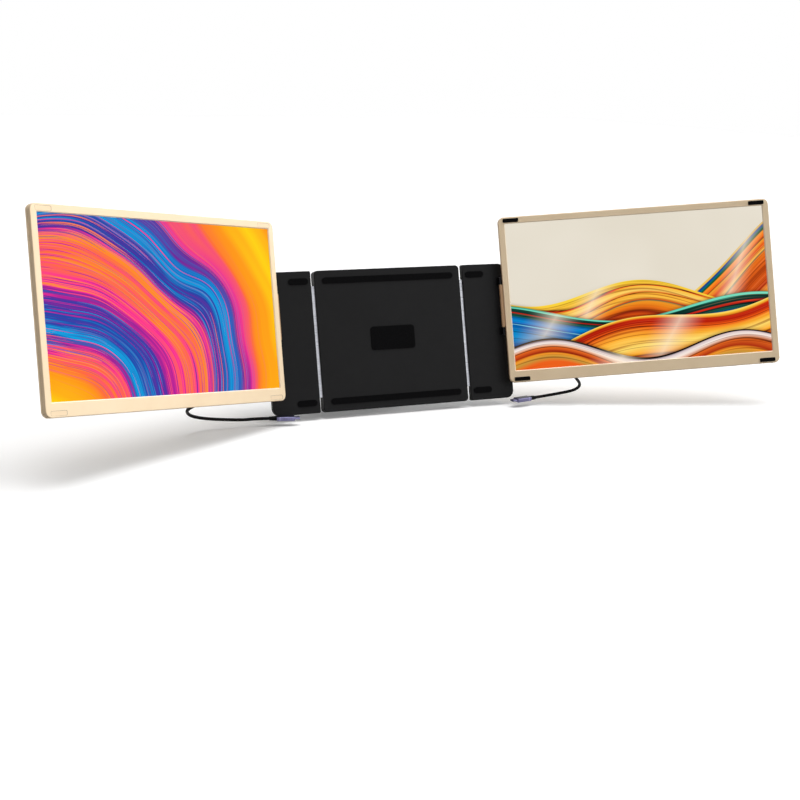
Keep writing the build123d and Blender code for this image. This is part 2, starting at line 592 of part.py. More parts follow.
# ------------------------------------------------------------ screens
def screen_outline(inset=0.0):
    """Outline of a screen's casing, in from its edge by the inset."""
    x_low, x_high = EDGE_GAP + inset, SCREEN_END - inset
    return rounded(x_low, x_high, SCREEN_BOTTOM + inset, SCREEN_TOP - inset, SCREEN_CORNER - inset)


def corner_pad_places():
    """Middles of the four corner pads, on the top and bottom bars of the bezel."""
    x_places = (EDGE_GAP + CORNER_PAD_INSET + CORNER_PAD_LENGTH / 2,
                SCREEN_END - CORNER_PAD_INSET - CORNER_PAD_LENGTH / 2)
    z_places = (SCREEN_BOTTOM + CORNER_PAD_CENTRE, SCREEN_TOP - CORNER_PAD_CENTRE)
    return [(x, z) for x in x_places for z in z_places]


def corner_pad_outline(gap=0.0):
    """Outline of a corner pad, or of its pocket with a gap all round."""
    corner = CORNER_PAD_CORNER + gap
    return RectangleRounded(CORNER_PAD_LENGTH + 2 * gap, CORNER_PAD_WIDTH + 2 * gap, corner)


def knuckle_slot():
    """Cut through the casing's inner wall for the hinge barrel's web."""
    depth = KNUCKLE_RADIUS + RUN_GAP
    ends = (KNUCKLE_BOTTOM - RUN_GAP, KNUCKLE_TOP + RUN_GAP)
    return slab(EDGE_GAP - 1, WEB_IN, -depth, depth, *ends)


def key_slots():
    """Cuts through the casing's outer wall for the two keys."""
    half_length, half_width = KEY_LENGTH / 2 + KEY_GAP, KEY_WIDTH / 2 + KEY_GAP
    level = (KEY_LEVEL - half_width, KEY_LEVEL + half_width)
    wall = (SCREEN_END - SIDE_WALL - 1, SCREEN_END + 1)
    return [slab(*wall, *level, z - half_length, z + half_length) for z in KEY_PLACES.values()]


def bezel():
    """Front frame: face, window with a bevelled lip, and a side wall that meets the rear cover."""
    front = -HALF_SCREEN
    frame = panel(screen_outline(), front, 0)
    frame = fillet(edges_at(frame, Axis.Y, front), FRONT_EDGE)
    frame -= panel(screen_outline(SIDE_WALL), PANEL_FRONT, 0)
    x_low, x_high, z_low, z_high = WINDOW
    frame -= slab(x_low, x_high, front - 1, 0, z_low, z_high)
    around_x = (x_low - 0.1, x_high + 0.1)
    lip = edges_at(frame, Axis.Y, front).filter_by_position(Axis.X, *around_x)
    lip = lip.filter_by_position(Axis.Z, z_low - 0.1, z_high + 0.1)
    frame = chamfer(lip, WINDOW_BEVEL)
    for place in corner_pad_places():
        frame -= panel(Pos(*place) * corner_pad_outline(CORNER_PAD_GAP), front - 1, front + CORNER_PAD_POCKET)
    frame -= knuckle_slot()
    for slot in key_slots():
        frame -= slot
    for x, z in SCREEN_SCREWS:
        frame += rod(SCREEN_BOSS_RADIUS, (x, PANEL_FRONT, z), (x, 0, z))
    return frame


def display_panel():
    """Liquid crystal panel with its backlight, behind the bezel's window."""
    x_low, x_high, z_low, z_high = WINDOW
    lap = PANEL_LAP
    return slab(x_low - lap, x_high + lap, PANEL_FRONT, PANEL_BACK, z_low - lap, z_high + lap)


def port_pocket():
    """Pocket in the casing's back where the plugs lie, with a ramp towards the leads."""
    floor = PANEL_BACK + POCKET_FLOOR
    back = HALF_SCREEN + 1
    ramp_end = POCKET_END + POCKET_RAMP
    profile = [(PORT_FACE, floor), (POCKET_END, floor), (ramp_end, back), (PORT_FACE, back)]
    outline = Plane(origin=(0, 0, POCKET_BOTTOM)) * make_face(Polyline(*profile, close=True))
    return extrude(outline, amount=POCKET_TOP - POCKET_BOTTOM)


def pocket_walls():
    """Walls and floor around the port pocket, inside the casing."""
    ends = (POCKET_BOTTOM - COVER_SKIN, POCKET_TOP + COVER_SKIN)
    return slab(PORT_FACE - COVER_SKIN, POCKET_END + POCKET_RAMP, PANEL_BACK, COVER_INNER, *ends)


def screen_cover():
    """Rear cover of a screen: a shallow tray with ribs, the port pocket and screw seats."""
    cover = panel(screen_outline(), 0, HALF_SCREEN)
    cover = fillet(edges_at(cover, Axis.Y, HALF_SCREEN), REAR_EDGE)
    cover -= panel(screen_outline(SIDE_WALL), 0, COVER_INNER)
    cover += pocket_walls()
    cover -= port_pocket()
    half_rib = PANEL_RIB_WIDTH / 2
    rib_ends = (WINDOW[2] + PANEL_RIB_INSET, WINDOW[3] - PANEL_RIB_INSET)
    for x in PANEL_RIBS:
        cover += slab(x - half_rib, x + half_rib, PANEL_BACK, COVER_INNER, *rib_ends)
    for z in PORT_HEIGHTS:
        half_width, half_thickness = PORT_WIDTH / 2 + FIT_GAP, PORT_THICKNESS / 2 + FIT_GAP
        level = (PORT_LEVEL - half_thickness, PORT_LEVEL + half_thickness)
        cover -= slab(PORT_FACE - PORT_DEPTH - 1, PORT_FACE, *level, z - half_width, z + half_width)
    cover -= knuckle_slot()
    for slot in key_slots():
        cover -= slot
    for x, z in SCREEN_SCREWS:
        cover += rod(SCREEN_BOSS_RADIUS, (x, 0, z), (x, COVER_INNER, z))
        cover -= rod(ARM_HEAD_RADIUS, (x, HALF_SCREEN - SCREW_SEAT, z), (x, HALF_SCREEN, z))
    return cover


def driver_board():
    """Circuit board that drives the panel, with its larger chips."""
    edge = PORT_FACE - COVER_SKIN - BOARD_GAP
    back = BOARD_LEVEL + BOARD_THICKNESS
    board = slab(BOARD_START, edge, BOARD_LEVEL, back, BOARD_BOTTOM, BOARD_TOP)
    for across, up, size, height in BOARD_CHIPS:
        x, z = BOARD_START + across, BOARD_BOTTOM + up
        board += slab(x, x + size, BOARD_LEVEL, back + height, z, z + size)
    return board


def usb_ports():
    """USB-C receptacles: each a shell with a thin tongue inside."""
    start = PORT_FACE - PORT_DEPTH
    half_width, half_thickness = PORT_WIDTH / 2, PORT_THICKNESS / 2
    half_inside, half_blade = half_thickness - PORT_WALL, BLADE_THICKNESS / 2
    ports = []
    for z in PORT_HEIGHTS:
        level = (PORT_LEVEL - half_thickness, PORT_LEVEL + half_thickness)
        shell = slab(start, PORT_FACE, *level, z - half_width, z + half_width)
        inside = (PORT_LEVEL - half_inside, PORT_LEVEL + half_inside)
        across = (z - half_width + PORT_WALL, z + half_width - PORT_WALL)
        shell -= slab(start + PORT_BACK, PORT_FACE, *inside, *across)
        blade_level = (PORT_LEVEL - half_blade, PORT_LEVEL + half_blade)
        blade = slab(start + PORT_BACK / 2, PORT_FACE - 1, *blade_level,
                     z - BLADE_WIDTH / 2, z + BLADE_WIDTH / 2)
        ports.append(shell + blade)
    return group(ports)


def side_key(z):
    """Push key in the casing's outer side, held by a flange behind the wall."""
    half_length, half_width = KEY_LENGTH / 2, KEY_WIDTH / 2
    flange_face = SCREEN_END - SIDE_WALL - KEY_GAP
    face = SCREEN_END + KEY_PROUD
    level = (KEY_LEVEL - half_width, KEY_LEVEL + half_width)
    cap = slab(flange_face, face, *level, z - half_length, z + half_length)
    cap = chamfer(edges_at(cap, Axis.X, face), KEY_EDGE)
    reach = half_length + KEY_FLANGE
    ledge = (level[0] - KEY_LEDGE, level[1] + KEY_LEDGE)
    return cap + slab(flange_face - KEY_DEPTH, flange_face, *ledge, z - reach, z + reach)


def hinge_knuckle():
    """Barrel at the screen's inner edge, with a plate that reinforces the rear cover."""
    ends = (KNUCKLE_BOTTOM, KNUCKLE_TOP)
    axis = ((0, 0, KNUCKLE_BOTTOM), (0, 0, KNUCKLE_TOP))
    knuckle = rod(KNUCKLE_RADIUS, *axis)
    knuckle += slab(0, WEB_OUT, -KNUCKLE_RADIUS, KNUCKLE_RADIUS, *ends)
    knuckle += slab(WEB_IN, WEB_OUT, -KNUCKLE_RADIUS, COVER_INNER, *ends)
    knuckle += slab(WEB_IN, HINGE_PLATE_END, COVER_INNER - HINGE_PLATE_THICKNESS, COVER_INNER, *ends)
    return knuckle - rod(HINGE_PIN_RADIUS + FIT_GAP, *axis)


def corner_pads(side):
    """Corner pads let into the bezel: flush on the left screen, proud on the right one."""
    front = -HALF_SCREEN
    proud = CORNER_PAD_PROUD if side == "right" else 0.0
    pads = []
    for place in corner_pad_places():
        pad = panel(Pos(*place) * corner_pad_outline(), front - proud, front + CORNER_PAD_POCKET)
        if proud:
            pad = chamfer(edges_at(pad, Axis.Y, front - proud), CORNER_PAD_BREAK)
        pads.append(pad)
    return group(pads)


# ------------------------------------------------------------ kickstand
def kickstand_reach():
    """Distance from the kickstand's axis down to the middle of its foot, so that it meets the table."""
    axis_height = (LID_FOOT + KICK_AXIS_Z) * cos(radians(LEAN)) - KICK_AXIS_Y * sin(radians(LEAN))
    slope = radians(KICK_OPEN - LEAN)
    behind = KICK_AXIS_Y - (CORE_BACK_Y - KICK_THICKNESS / 2 - KICK_GAP)
    return (axis_height - KICK_FOOT_RADIUS + behind * sin(slope)) / cos(slope)


def kick_place(shape):
    """Turn a kickstand piece, modelled folded, to where it stands."""
    at_axis = Pos(0, -KICK_AXIS_Y, -KICK_AXIS_Z) * shape
    return lean_back(Pos(0, KICK_AXIS_Y, KICK_AXIS_Z) * (Rot(X=KICK_OPEN) * at_axis))


def kickstand_plate():
    """Folding plate with a finger cut-out and the barrel of its hinge."""
    front, back = CORE_BACK_Y - KICK_THICKNESS - KICK_GAP, CORE_BACK_Y - KICK_GAP
    half_width = KICK_WIDTH / 2
    foot = KICK_AXIS_Z - kickstand_reach()
    top = KICK_AXIS_Z - KICK_BARREL_RADIUS - KICK_SHOULDER
    outline = rounded(-half_width, half_width, foot, top, KICK_CORNER)
    outline -= Pos(0, foot + FINGER_PLACE) * SlotOverall(FINGER_LENGTH, FINGER_WIDTH)
    plate = panel(outline, front, back)
    half_barrel = KICK_BARREL_LENGTH / 2
    plate += slab(-half_barrel, half_barrel, front, back, top - KICK_SHOULDER, KICK_AXIS_Z)
    ends = ((-half_barrel, KICK_AXIS_Y, KICK_AXIS_Z), (half_barrel, KICK_AXIS_Y, KICK_AXIS_Z))
    plate += rod(KICK_BARREL_RADIUS, *ends)
    return plate - rod(KICK_PIN_RADIUS + FIT_GAP, *ends)


def kickstand_foot():
    """Rubber strip over the kickstand's lower edge."""
    middle = CORE_BACK_Y - KICK_THICKNESS / 2 - KICK_GAP
    foot = KICK_AXIS_Z - kickstand_reach()
    half = KICK_WIDTH / 2 - KICK_CORNER
    strip = rod(KICK_FOOT_RADIUS, (-half, middle, foot), (half, middle, foot))
    return strip - kickstand_plate()


def kickstand_pin():
    """Pin through the lugs and the kickstand's barrel."""
    half = KICK_BARREL_LENGTH / 2 + DISC_GAP + DISC_THICKNESS + KICK_LUG_LENGTH
    pin = rod(KICK_PIN_RADIUS, (-half, KICK_AXIS_Y, KICK_AXIS_Z), (half, KICK_AXIS_Y, KICK_AXIS_Z))
    head = KICK_PIN_RADIUS + PIN_HEAD
    for side in (-1, 1):
        ends = sorted((side * half, side * (half + PIN_HEAD)))
        pin += rod(head, (ends[0], KICK_AXIS_Y, KICK_AXIS_Z), (ends[1], KICK_AXIS_Y, KICK_AXIS_Z))
    return pin


def kickstand_discs():
    """Friction discs on the kickstand's pin."""
    discs = []
    inner = KICK_BARREL_LENGTH / 2 + DISC_GAP
    for side in (-1, 1):
        low, high = sorted((side * inner, side * (inner + DISC_THICKNESS)))
        ends = ((low, KICK_AXIS_Y, KICK_AXIS_Z), (high, KICK_AXIS_Y, KICK_AXIS_Z))
        discs.append(rod(KICK_BARREL_RADIUS - 0.2, *ends) - rod(KICK_PIN_RADIUS + FIT_GAP, *ends))
    return group(discs)


# ------------------------------------------------------------ leads
def across_x(x=0.0):
    """Plane across the X axis, with its own X along Y."""
    return Plane(origin=(x, 0, 0), x_dir=(0, 1, 0), z_dir=(1, 0, 0))


def plug_shell():
    """USB-C plug along X: a metal body from 0 outwards and a hollow tongue behind 0."""
    outline = RectangleRounded(PLUG_THICKNESS, PLUG_WIDTH, PLUG_CORNER)
    body = extrude(across_x() * outline, amount=PLUG_LENGTH)
    body = chamfer(edges_at(body, Axis.X, PLUG_LENGTH), PLUG_EDGE)
    tongue = RectangleRounded(TONGUE_THICKNESS, TONGUE_WIDTH, TONGUE_CORNER)
    tongue = extrude(across_x() * tongue, amount=-TONGUE_LENGTH)
    half_mouth, half_width = TONGUE_MOUTH_THICKNESS / 2, TONGUE_MOUTH_WIDTH / 2
    hollow = slab(-TONGUE_LENGTH, -TONGUE_FLOOR, -half_mouth, half_mouth, -half_width, half_width)
    return body + tongue - hollow


def plug_boot():
    """Tapered strain relief behind a plug."""
    wide = RectangleRounded(BOOT_THICKNESS, BOOT_WIDTH, BOOT_CORNER)
    small = (BOOT_TAPER * BOOT_THICKNESS, BOOT_TAPER * BOOT_WIDTH, BOOT_TAPER * BOOT_CORNER)
    narrow = RectangleRounded(*small)
    return loft([across_x(PLUG_LENGTH) * wide, across_x(PLUG_LENGTH + BOOT_LENGTH) * narrow])


def screen_plug_place(shape, side):
    """Seat a plug in the upper port of a screen."""
    return place_screen(Pos(PORT_FACE, PORT_LEVEL, PORT_HEIGHTS[0]) * shape, side)


def laptop_plug_place(shape, side):
    """Lay a plug flat at the laptop's port."""
    x, y, heading = LAPTOP_PLUGS[side]
    return Pos(x, y, TABLE + PLUG_LEVEL) * (Rot(Z=heading) * (Rot(X=90) * shape))


def lead_ends(side):
    """Where a lead leaves its two boots, as points with directions."""
    boot_end = PLUG_LENGTH + BOOT_LENGTH
    marks = []
    for place in (laptop_plug_place, screen_plug_place):
        line = place(Edge.make_line((boot_end, 0, 0), (boot_end + 10, 0, 0)), side)
        marks.append((line @ 0, (line % 0).normalized()))
    if side == "left":
        # mirroring turns an edge's start and end about, so its free end is taken by distance
        line = screen_plug_place(Edge.make_line((boot_end, 0, 0), (boot_end + 10, 0, 0)), side)
        near, far = sorted((line @ 0, line @ 1), key=lambda point: -point.X)
        marks[1] = (near, (far - near).normalized())
    return marks


def lead_route(side):
    """Corner points of a lead, from its laptop boot to its screen boot."""
    (start, start_way), (end, end_way) = lead_ends(side)
    first, last = LEAD_RUNS[side]
    middle = [Vector(*point) for point in LEAD_POINTS[side]]
    return [start, start + start_way * first, *middle, end + end_way * last, end]


def lead_radii(points):
    """Radius at each corner: as large as its two runs allow."""
    radii = []
    for before, corner, after in zip(points, points[1:], points[2:]):
        run_in, run_out = corner - before, after - corner
        turn = radians(run_in.get_angle(run_out))
        radii.append(BEND_SHARE * min(run_in.length, run_out.length) / tan(turn / 2))
    return radii


def lead(side):
    """Round cable swept along its route."""
    points = lead_route(side)
    radii = lead_radii(points)
    print(side, "lead radii", [round(radius, 1) for radius in radii])
    path = FilletPolyline(*points, radius=radii)
    tube = sweep(Plane(origin=path @ 0, z_dir=path % 0) * Circle(CABLE_DIAMETER / 2), path=path)
    section = pi * CABLE_DIAMETER ** 2 / 4
    share = tube.volume / (section * path.length)
    print(side, "lead length", round(path.length, 1), "volume ratio", round(share, 4))
    return tube


# ------------------------------------------------------------ the assembly
def build():
    """Every node of the part, by name."""
    nodes = {
        "core_front_plate": lean_back(front_plate()),
        "core_rear_cover": lean_back(core_cover()),
        "lid_pads": lean_back(lid_pads()),
        "lid_magnets": lean_back(lid_magnets()),
        "sync_pinion": lean_back(pinion()),
        "pinion_axle": lean_back(pinion_axle()),
        "kickstand_plate": kick_place(kickstand_plate()),
        "kickstand_foot": kick_place(kickstand_foot()),
        "kickstand_pin": lean_back(kickstand_pin()),
        "kickstand_discs": lean_back(kickstand_discs()),
    }
    for side in ("left", "right"):
        # the left rack is the right one turned half a turn about the pinion's axis
        own_rack = rack() if side == "right" else Rot(Y=180) * rack()
        nodes[f"{side}_rack"] = lean_back(own_rack)
        nodes[f"{side}_arm_shell"] = place_arm(arm_shell(), side)
        nodes[f"{side}_arm_cover"] = place_arm(arm_cover(), side)
        nodes[f"{side}_slide_plate"] = place_arm(slide_plate(), side)
        nodes[f"{side}_hinge_leaf"] = place_arm(hinge_leaf(side), side)
        nodes[f"{side}_hinge_pin"] = place_arm(hinge_pin(side), side)
        nodes[f"{side}_friction_discs"] = place_arm(friction_discs(side), side)
        nodes[f"{side}_arm_pads"] = place_arm(arm_pads(), side)
        nodes[f"{side}_bezel"] = place_screen(bezel(), side)
        nodes[f"{side}_display_panel"] = place_screen(display_panel(), side)
        nodes[f"{side}_screen_cover"] = place_screen(screen_cover(), side)
        nodes[f"{side}_driver_board"] = place_screen(driver_board(), side)
        nodes[f"{side}_usb_ports"] = place_screen(usb_ports(), side)
        nodes[f"{side}_hinge_knuckle"] = place_screen(hinge_knuckle(), side)
        nodes[f"{side}_corner_pads"] = place_screen(corner_pads(side), side)
        for key, z in KEY_PLACES.items():
            nodes[f"{side}_{key}_key"] = place_screen(side_key(z), side)
        nodes[f"{side}_screen_plug"] = screen_plug_place(plug_shell(), side)
        nodes[f"{side}_screen_boot"] = screen_plug_place(plug_boot(), side)
        nodes[f"{side}_laptop_plug"] = laptop_plug_place(plug_shell(), side)
        nodes[f"{side}_laptop_boot"] = laptop_plug_place(plug_boot(), side)
        nodes[f"{side}_lead"] = lead(side)
    return nodes


def main():
    os.makedirs("parts", exist_ok=True)
    for name, shape in build().items():
        export_step(shape, f"parts/{name}.step")


main()
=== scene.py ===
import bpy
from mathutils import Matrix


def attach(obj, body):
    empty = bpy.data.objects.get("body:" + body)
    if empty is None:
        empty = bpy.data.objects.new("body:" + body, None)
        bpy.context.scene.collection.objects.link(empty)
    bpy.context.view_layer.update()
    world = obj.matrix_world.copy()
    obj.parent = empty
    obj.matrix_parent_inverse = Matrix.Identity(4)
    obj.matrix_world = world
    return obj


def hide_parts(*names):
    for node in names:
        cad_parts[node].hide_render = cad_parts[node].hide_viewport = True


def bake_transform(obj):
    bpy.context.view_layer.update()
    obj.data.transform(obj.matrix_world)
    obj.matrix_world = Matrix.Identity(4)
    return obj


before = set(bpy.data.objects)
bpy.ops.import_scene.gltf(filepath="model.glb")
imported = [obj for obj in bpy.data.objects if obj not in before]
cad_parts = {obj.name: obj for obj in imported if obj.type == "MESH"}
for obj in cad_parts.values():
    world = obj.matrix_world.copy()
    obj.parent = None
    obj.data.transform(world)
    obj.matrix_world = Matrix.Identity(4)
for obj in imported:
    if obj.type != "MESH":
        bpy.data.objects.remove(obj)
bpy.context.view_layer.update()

from math import cos, pi, radians, sin

import bmesh
import bpy
import numpy as np
from mathutils import Matrix


# ------------------------------------------------------------ sizes
def every(columns, rows):
    """Places at each crossing of the columns and rows."""
    return [(column, row) for column in columns for row in rows]


# Millimetres in the stand's own upright frame, from the middle of the lid pad's face: x across,
# y back and z up. The row frame is in metres and has the stand leaned back by LEAN.
MM = 0.001
LEAN = radians(14.7)
LID_FOOT = 98.75                            # from the table to the origin, along the lid
TABLE = -LID_FOOT * cos(LEAN)
SIDES = ("left", "right")
WAY = {"left": -1.0, "right": 1.0}
AXIS_X = 155.8                              # hinge axes, to either side
AXIS_Y = {"left": -15.7, "right": -5.7}     # both in front of the pad's face
OPEN = {"left": radians(31.0), "right": radians(19.5)}

SCREEN_START, SCREEN_END = 2.4, 364.2       # along a screen, from its hinge axis
SCREEN_LOW, SCREEN_HIGH = -70.25, 148.15
SCREEN_MIDDLE = ((SCREEN_START + SCREEN_END) / 2, (SCREEN_LOW + SCREEN_HIGH) / 2)
SCREEN_HALF = ((SCREEN_END - SCREEN_START) / 2, (SCREEN_HIGH - SCREEN_LOW) / 2)
HALF_SCREEN = 4.5                           # half its thickness
CASING_CORNER = 7.5
RIM = 0.8                                   # width of the rim round a frame, which takes a painted shade
FACE_SKIN = 0.02                            # what lies this near the front is flat face
FRAME_SIDE, FRAME_FOOT = 8.8, 16.0          # widths of the frame: sides and top, and foot
WINDOW = (SCREEN_START + FRAME_SIDE, SCREEN_END - FRAME_SIDE,
          SCREEN_LOW + FRAME_FOOT, SCREEN_HIGH - FRAME_SIDE)
PANEL_FRONT = -3.1                          # from the hinge plane
PANEL_FILM = 0.03                           # lit face in front of the panel
PANEL_LAP = 0.6                             # lit face past the window's edge
PANEL_RATIO = 1.778                         # panel's width over its height
PANEL_GRID = (17, 10)                       # points of the lit face, along it and up it

SCREW_INSET = 26.0
SCREEN_SCREWS = every((SCREEN_START + SCREW_INSET, SCREEN_END - SCREW_INSET), (-58.95, 144.05))
ARM_SCREWS = every((112.5, 158.4), (-80.0, 80.0))
CORE_SCREWS = every((-88.0, 88.0), (-80.0, 80.0))
SCREEN_HEAD = (3.5, 1.92, 0.9)              # a screw head's seat, radius and height
ARM_HEAD = (7.4, 1.92, 1.4)
CORE_HEAD = (13.4, 2.5, 1.45)
HEAD_SIDES = 48
HEAD_DOME = 0.12                            # fall of the dome to its rim, a share of the height
CROSS_HALF_WIDTH, CROSS_REACH = 0.17, 0.62  # shares of a head's radius
CROSS_SIDE, CROSS_END = 0.05, 0.08          # widths of its sloping walls, shares as well
CROSS_DEPTH = 0.55                          # share of a head's height

PAD_LENGTH, PAD_WIDTH, PAD_CORNER = 20.6, 5.0, 1.2
PAD_INSET, PAD_EDGE = 16.6, 4.6             # a pad's middle from the screen's side and end
PAD_GAP = 0.02
PAD_PLACES = every((SCREEN_START + PAD_INSET, SCREEN_END - PAD_INSET),
                   (SCREEN_LOW + PAD_EDGE, SCREEN_HIGH - PAD_EDGE))

PORT_PLACE = (42.8, 2.65, -41.0)            # a screen's port: along it, behind the hinge plane, up it
PLUG_LENGTH, PLUG_WIDTH, PLUG_THICKNESS, PLUG_CORNER = 22.0, 11.6, 5.4, 1.4
PLUG_LEVEL = 9.2                            # laptop's plugs above the table
LAPTOP_PLUG = {"left": (-144.0, -35.3, radians(166.6)), "right": (161.0, -37.5, radians(10.0))}
# tongue: along, half width, half thickness, corner
TONGUE = [(-4.0, 3.4, 0.5, 0.3), (-6.3, 3.4, 0.5, 0.3), (-6.5, 3.5, 0.6, 0.4), (-6.5, 4.0, 1.05, 0.95),
          (-6.3, 4.15, 1.2, 1.1), (-0.05, 4.15, 1.2, 1.1), (0.0, 4.2, 1.25, 1.1)]
# shell: along, and how far in from its full section
SHELL = [(0.0, 0.5), (0.12, 0.18), (0.45, 0.0), (16.9, 0.0), (17.05, 0.14), (17.2, 0.0),
         (19.2, 0.0), (19.35, 0.14), (19.5, 0.0), (21.4, 0.0), (21.8, 0.2), (PLUG_LENGTH, 0.55)]
RING_MIDDLE, RING_HALF = 18.2, 1.0          # turned ring between the shell's two grooves
BROAD_MIDDLE, BROAD_HALF = 0.486, 0.2       # a plug's broad faces, in shares of the way round one half
DARK_REFLECTION_START = 0.4                           # and where along the shell their painted dark reflection starts

BOOT_LENGTH, BOOT_WIDTH, BOOT_THICKNESS, BOOT_TAPER = 9.0, 8.4, 5.2, 0.8
BOOT_STEPS, BOOT_ROUND = 61, 0.75           # sections, and their corner as a share of the lesser half
BOOT_GROOVES, PINCH_WIDE, PINCH_THIN = 5, 0.3, 0.18
GROOVES_START, GROOVES_SPAN = 0.16, 0.76    # shares of its length
END_WIDE, END_THIN = 0.3, 0.2               # how far its end sections are drawn in

CABLE = 4.0                                 # a lead's thickness
LEAD_SIDES, LEAD_STEPS = 24, 26
# metres in the row frame, from the laptop's boot to the screen's
LEAD_POINTS = {
    "left": [(-0.17416, -0.02812, -0.08632), (-0.18777, -0.02487, -0.08632), (-0.212, -0.0245, -0.0865),
             (-0.2675, -0.0265, -0.079), (-0.2845, -0.047, -0.0635), (-0.273, -0.068, -0.051),
             (-0.24142, -0.07236, -0.0234), (-0.22042, -0.06016, -0.02661)],
    "right": [(0.19153, -0.03212, -0.08632), (0.21123, -0.02864, -0.08632), (0.2535, -0.056, -0.073),
              (0.26, -0.0055, -0.0625), (0.275, -0.014, -0.0295), (0.265, -0.0325, -0.018),
              (0.2451, -0.04379, -0.0309), (0.22625, -0.03733, -0.03259)],
}

PLUG_TURN, BOOT_TURN, SEAM_TURN, PAD_TURN = 9, 8, 14, 8     # points round each corner
BEAD_SIDES = 8
SEAM_RISE, SEAM_SINK, SEAM_WIDTH, SEAM_INSET = 0.16, 0.12, 0.22, 1.0
PAD_LINE_RISE, PAD_LINE_SINK, PAD_LINE_WIDTH, PAD_LINE_INSET = 0.16, 0.08, 0.14, 0.5
HEFT_LOW, SHADOW_HEFT_TOP, SHADOW_HEFT_END = 0.45, 0.55, 1.1          # a pad line's weight, and what its top and end add as painted shadow
END_START, END_SPAN = 0.4, 0.1              # where that end is, in pad lengths from the middle
SHARP_NODE, SHARP_PIECE = radians(36), radians(40)      # edges that turn by more stay sharp
MERGE = 0.002 * MM                          # points nearer than this become one


# ------------------------------------------------------------ places
def leaned(x, y, z):
    """Upright points to the row frame: a turn about X by the lean, then millimetres to metres."""
    x, y, z = np.broadcast_arrays(np.asarray(x, float), y, z)
    return np.stack([x, y * cos(LEAN) + z * sin(LEAN), z * cos(LEAN) - y * sin(LEAN)], -1) * MM


def on_screen(side):
    """Place of a screen's own points (s from the hinge, q behind the hinge plane, z up the lid)."""
    def place(s, q, z):
        turn = OPEN[side]
        x = WAY[side] * (AXIS_X + s * cos(turn) + q * sin(turn))
        return leaned(x, AXIS_Y[side] - s * sin(turn) + q * cos(turn), z)
    return place


def on_arm(side):
    """Place of an arm's own points, mirrored for the left arm."""
    return lambda x, y, z: leaned(WAY[side] * x, y, z)


def at_screen_port(side):
    """Place of a plug's own points (along, through, across) at the screen's upper port."""
    place = on_screen(side)
    return lambda a, t, w: place(PORT_PLACE[0] + a, PORT_PLACE[1] + t, PORT_PLACE[2] + w)


def at_laptop_port(side):
    """Place of a plug's own points (along, through, across) at the laptop's port."""
    x0, y0, heading = LAPTOP_PLUG[side]

    def place(a, t, w):
        a, t, w = np.broadcast_arrays(np.asarray(a, float), t, w)
        x = x0 + a * cos(heading) + w * sin(heading)
        y = y0 + a * sin(heading) - w * cos(heading)
        return np.stack([x, y, TABLE + PLUG_LEVEL + t], -1) * MM
    return place


# ------------------------------------------------------------ meshes
def piece(name, points, faces, body, finish, flip=False, uv=None, smooth=True):
    """Mesh object at the origin from an array of points and faces, riding on a body."""
    mesh = bpy.data.meshes.new(name)
    faces = [list(reversed(face)) if flip else list(face) for face in faces]
    mesh.from_pydata(points.reshape(-1, 3).tolist(), [], faces)
    if uv is not None:
        corners = np.zeros(len(mesh.loops), np.int32)
        mesh.loops.foreach_get("vertex_index", corners)
        layer = mesh.uv_layers.new(name="surface")
        layer.data.foreach_set("uv", uv.reshape(-1, 2)[corners].astype(np.float32).ravel())
    mesh.polygons.foreach_set("use_smooth", np.full(len(mesh.polygons), smooth))
    if smooth:
        mesh.set_sharp_from_angle(angle=SHARP_PIECE)
    mesh.update()
    made = bpy.data.objects.new(name, mesh)
    bpy.context.scene.collection.objects.link(made)
    mesh.materials.append(finish)
    if body:
        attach(made, body)
    return made


def quads(rows, columns, closed_rows=False, closed_columns=False, first=0):
    """Faces of a grid of rows by columns, wrapped round where it is closed."""
    r = np.arange(rows if closed_rows else rows - 1)[:, None]
    c = np.arange(columns if closed_columns else columns - 1)[None, :]
    r1, c1 = (r + 1) % rows, (c + 1) % columns
    square = np.stack([r * columns + c, r * columns + c1, r1 * columns + c1, r1 * columns + c], -1)
    return (square.reshape(-1, 4) + first).tolist()


def capped(rows, columns, first=0):
    """Faces of a tube of closed rings, with a face over each end."""
    faces = quads(rows, columns, closed_columns=True, first=first)
    faces.append([first + i for i in range(columns)][::-1])
    faces.append([first + (rows - 1) * columns + i for i in range(columns)])
    return faces


def rounded_loop(half_u, half_v, corner, count):
    """Points round a rounded rectangle: each corner's quarter circle, joined by straight sides."""
    turn = np.linspace(0, pi / 2, count)
    u = [(half_u - corner) * a + corner * np.cos(turn + k * pi / 2) for k, a in enumerate((1, -1, -1, 1))]
    v = [(half_v - corner) * b + corner * np.sin(turn + k * pi / 2) for k, b in enumerate((1, 1, -1, -1))]
    return np.concatenate(u), np.concatenate(v)


def sections(stations, count):
    """Rounded sections carried along a line: each is (along, half width, half thickness, corner)."""
    loops = np.array([rounded_loop(*station[1:], count) for station in stations])
    across, through = loops[:, 0], loops[:, 1]
    along = np.array([station[0] for station in stations])[:, None] * np.ones_like(across)
    return along, through, across


def tube(path, across, upward, radius, count):
    """Round tube carried along a path: centre plus radius times cos and sin in its own plane."""
    turn = np.linspace(0, 2 * pi, count, endpoint=False)[None, :, None]
    return path[:, None] + radius * (np.cos(turn) * across[:, None] + np.sin(turn) * upward[:, None])


def outline_bead(half_u, half_v, corner, inset, count, rise):
    """Rounded outline with a ring of points at each of its own, moved outwards by rise.

    Outwards is the way from the same outline drawn in by the inset."""
    u, v = rounded_loop(half_u, half_v, corner, count)
    inner_u, inner_v = rounded_loop(half_u - inset, half_v - inset, corner - inset, count)
    out = np.stack([u - inner_u, v - inner_v], -1)
    out /= np.linalg.norm(out, axis=1, keepdims=True)
    return u[:, None] + out[:, :1] * rise, v[:, None] + out[:, 1:] * rise


